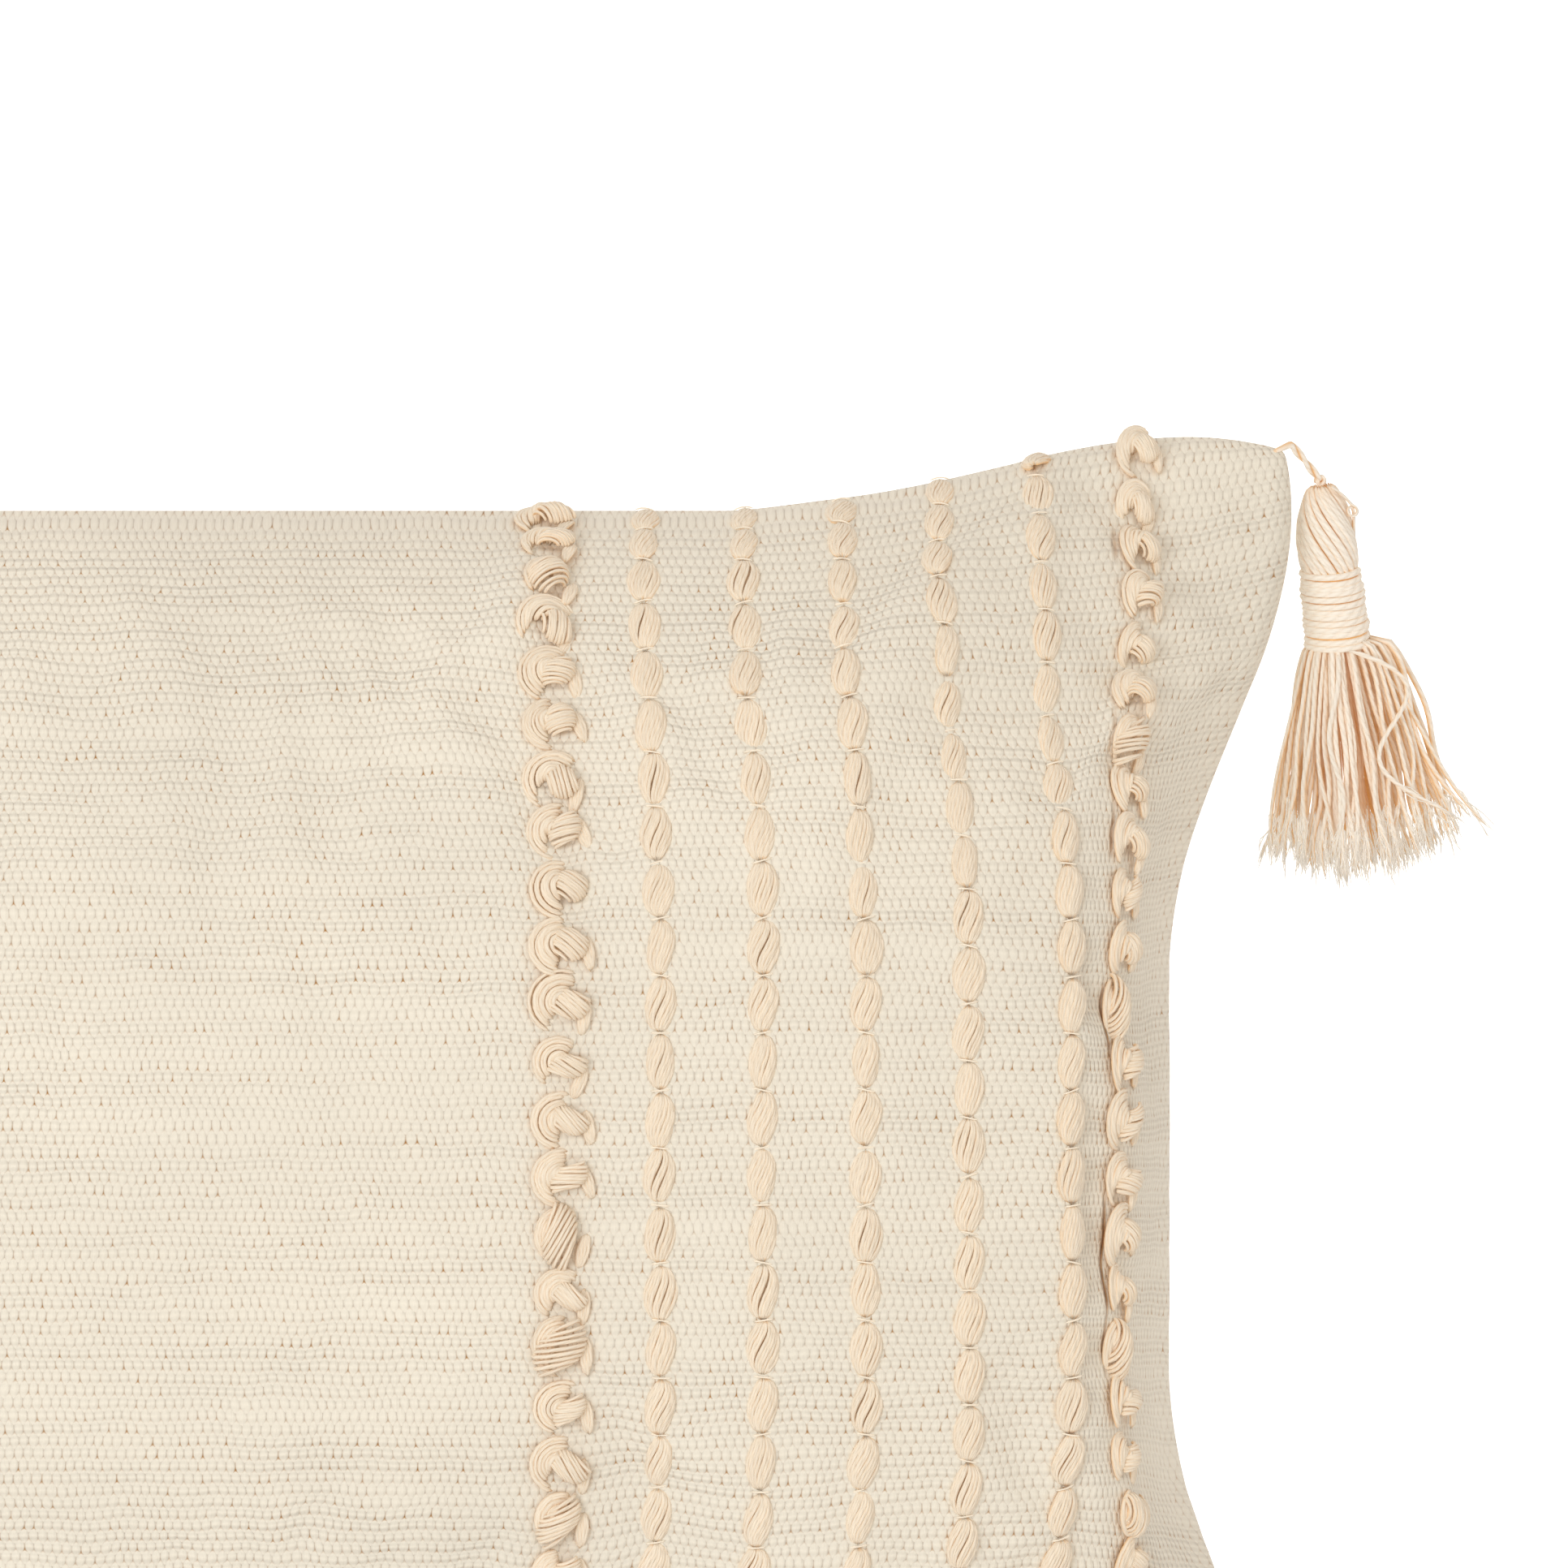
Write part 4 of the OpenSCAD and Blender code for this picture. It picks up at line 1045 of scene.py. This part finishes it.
class PILLOW_OT_yarn_rows(Operator):
    """Make the rows of curled loops and flat stitches"""
    bl_idname = "pillow.yarn_rows"
    bl_label = "Yarn Rows"

    def execute(self, context):
        if "front" not in made:
            raise RuntimeError("Make the cover first")
        cover, yarn = context.scene.pillow_cover, context.scene.pillow_yarn
        outer = cover.half_length + cover.cloth_slack - yarn.row_inset
        for n, (name, side) in enumerate(zip(SIDES, (-1, 1))):
            loop_row(context, f"loop_row_{name}_inner", outer - 6 * yarn.row_pitch, side, 11 + n)
            loop_row(context, f"loop_row_{name}_outer", outer, side, 21 + n, 0.72)
            for row in range(1, 6):
                stitch_row(context, f"stitch_row_{name}_{row}", outer - (6 - row) * yarn.row_pitch,
                           side, 31 + 10 * n + row)
        return {"FINISHED"}


class PILLOW_OT_tassels(Operator):
    """Make the four tassels"""
    bl_idname = "pillow.tassels"
    bl_label = "Tassels"

    def execute(self, context):
        colours = context.scene.pillow_colours
        material = cotton_yarn(
            "Plied cotton yarn", colours.yarn, colours, 3.2 * MM, 0.3 * MM, THROUGH_TASSEL)
        for n, corner in enumerate(CORNERS):
            for m, (part, make) in enumerate(TASSEL_PARTS.items()):
                node = f"tassel_{corner}_{part}"
                seed = 100 + 10 * n + m
                piece = yarn_mesh(node + "_yarn", make(context, corner, seed), material, seed)
                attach(piece, f"tassel_{corner}_hanger" if part == "cord" else f"tassel_{corner}")
                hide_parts(node)
        return {"FINISHED"}


class PILLOW_OT_care_label(Operator):
    """Make the blank care label in the bottom seam"""
    bl_idname = "pillow.care_label"
    bl_label = "Care Label"

    def execute(self, context):
        low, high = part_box("care_label")
        width, length = high.x - low.x, high.z - low.z
        bm = bmesh.new()
        bm.loops.layers.uv.new(CLOTH_MAP)
        bmesh.ops.create_grid(bm, x_segments=12, y_segments=18, size=0.5, calc_uvs=True)
        middle_y = (low.y + high.y) / 2
        for vertex in bm.verts:
            across, down = vertex.co.x, 0.5 - vertex.co.y
            bow = 1.2 * MM * math.sin(math.pi * down) * (1 - 0.4 * across)
            vertex.co = ((low.x + high.x) / 2 + across * width, middle_y - bow, high.z - down * length)
        mesh = bpy.data.meshes.new("care_label_satin")
        bm.to_mesh(mesh)
        bm.free()
        piece = finish_object("care_label_satin", mesh, plain_cloth(
            "Polyester satin", context.scene.pillow_colours.label, 0.6 * MM))
        wall = piece.modifiers.new("Wall", "SOLIDIFY")
        wall.thickness = high.y - low.y
        wall.offset = 0
        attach(piece, "pillow")
        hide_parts("care_label")
        return {"FINISHED"}


class PILLOW_OT_inner_parts(Operator):
    """Give the casing, the fill, the turned in seam and the zip their materials"""
    bl_idname = "pillow.inner_parts"
    bl_label = "Inner Parts"

    def execute(self, context):
        colours = context.scene.pillow_colours
        finishes = {
            "casing": plain_cloth("Cotton casing", colours.casing, 0.8 * MM),
            "fill": plain_cloth("Polyester fibre", colours.casing, 3 * MM),
            "tape": plain_cloth("Woven zip tape", colours.tape, 0.8 * MM),
            "metal": plated_zinc("Nickel-plated zinc", colours.metal)}
        nodes = {
            "casing_front": "casing", "casing_back": "casing", "seam_turning": "casing", "fibre_fill": "fill",
            "zip_tape_front": "tape", "zip_tape_back": "tape",
            "zip_coil_front": "tape", "zip_coil_back": "tape",
            "zip_top_stop": "metal", "zip_bottom_stop": "metal", "zip_slider": "metal", "zip_pull": "metal"}
        for node, finish in nodes.items():
            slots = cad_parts[node].data.materials
            slots.clear()
            slots.append(finishes[finish])
        return {"FINISHED"}


class PILLOW_OT_studio(Operator):
    """Make the floor, the lights and the camera"""
    bl_idname = "pillow.studio"
    bl_label = "Studio"

    def execute(self, context):
        scene = context.scene
        scene.view_settings.view_transform = "Standard"
        bm = bmesh.new()
        bmesh.ops.create_grid(bm, x_segments=1, y_segments=1, size=6.0)
        mesh = bpy.data.meshes.new("floor")
        bm.to_mesh(mesh)
        bm.free()
        paint = painted_floor("Painted floor", scene.pillow_colours.floor)
        floor = finish_object("floor", mesh, paint, False)
        floor.visible_diffuse = False
        world = bpy.data.worlds.new("Studio")
        world.use_nodes = True
        world.node_tree.nodes["Background"].inputs[0].default_value = (*linear("#fff5ea"), 1)
        world.node_tree.nodes["Background"].inputs[1].default_value = 0.72
        scene.world = world
        for name, place, wide, power in (
                ("key", (-1.1, 0.2, 2.7), 1.4, 26.0), ("fill", (1.6, -0.6, 2.4), 2.0, 4.5)):
            lamp = bpy.data.lights.new(name, "AREA")
            lamp.shape = "DISK"
            lamp.size = wide
            lamp.energy = power
            lamp.color = linear("#f7fbff")
            light = bpy.data.objects.new(name, lamp)
            light.location = place
            light.rotation_euler = Vector(place).to_track_quat("Z", "Y").to_euler()
            light.visible_camera = False
            scene.collection.objects.link(light)
        # Looks straight down on the top right part of the front, from far away.
        view = 386.4 * MM
        height = 5.0
        camera = bpy.data.cameras.new("camera")
        camera.sensor_width = 36.0
        camera.lens = 36.0 * (height - 0.07) / view
        camera.clip_end = 50
        eye = bpy.data.objects.new("camera", camera)
        eye.location = (170.2 * MM, 95.8 * MM, height)
        scene.collection.objects.link(eye)
        scene.camera = eye
        return {"FINISHED"}


class PILLOW_PT_parts(Panel):
    """Lists the pillow's pieces and their settings"""
    bl_idname = "PILLOW_PT_parts"
    bl_label = "Throw Pillow"
    bl_space_type = "VIEW_3D"
    bl_region_type = "UI"
    bl_category = "Pillow"

    def draw(self, context):
        for operator in OPERATORS:
            self.layout.operator(operator.bl_idname)
        for group in ("pillow_cover", "pillow_yarn", "pillow_tassel", "pillow_colours"):
            settings = getattr(context.scene, group)
            box = self.layout.box()
            for name in settings.__annotations__:
                box.prop(settings, name)


OPERATORS = (
    PILLOW_OT_cover, PILLOW_OT_yarn_rows, PILLOW_OT_tassels, PILLOW_OT_care_label,
    PILLOW_OT_inner_parts, PILLOW_OT_studio)
GROUPS = {
    "pillow_cover": CoverSettings, "pillow_yarn": YarnSettings,
    "pillow_tassel": TasselSettings, "pillow_colours": ColourSettings}


def register():
    for group in GROUPS.values():
        bpy.utils.register_class(group)
    for name, group in GROUPS.items():
        setattr(bpy.types.Scene, name, PointerProperty(type=group))
    for kind in (*OPERATORS, PILLOW_PT_parts):
        bpy.utils.register_class(kind)


def unregister():
    for kind in (PILLOW_PT_parts, *reversed(OPERATORS)):
        bpy.utils.unregister_class(kind)
    for name in GROUPS:
        delattr(bpy.types.Scene, name)
    for group in GROUPS.values():
        bpy.utils.unregister_class(group)


def main():
    register()
    bpy.ops.pillow.studio()
    bpy.ops.pillow.cover()
    bpy.ops.pillow.yarn_rows()
    bpy.ops.pillow.tassels()
    bpy.ops.pillow.care_label()
    bpy.ops.pillow.inner_parts()


if __name__ == "__main__":
    main()
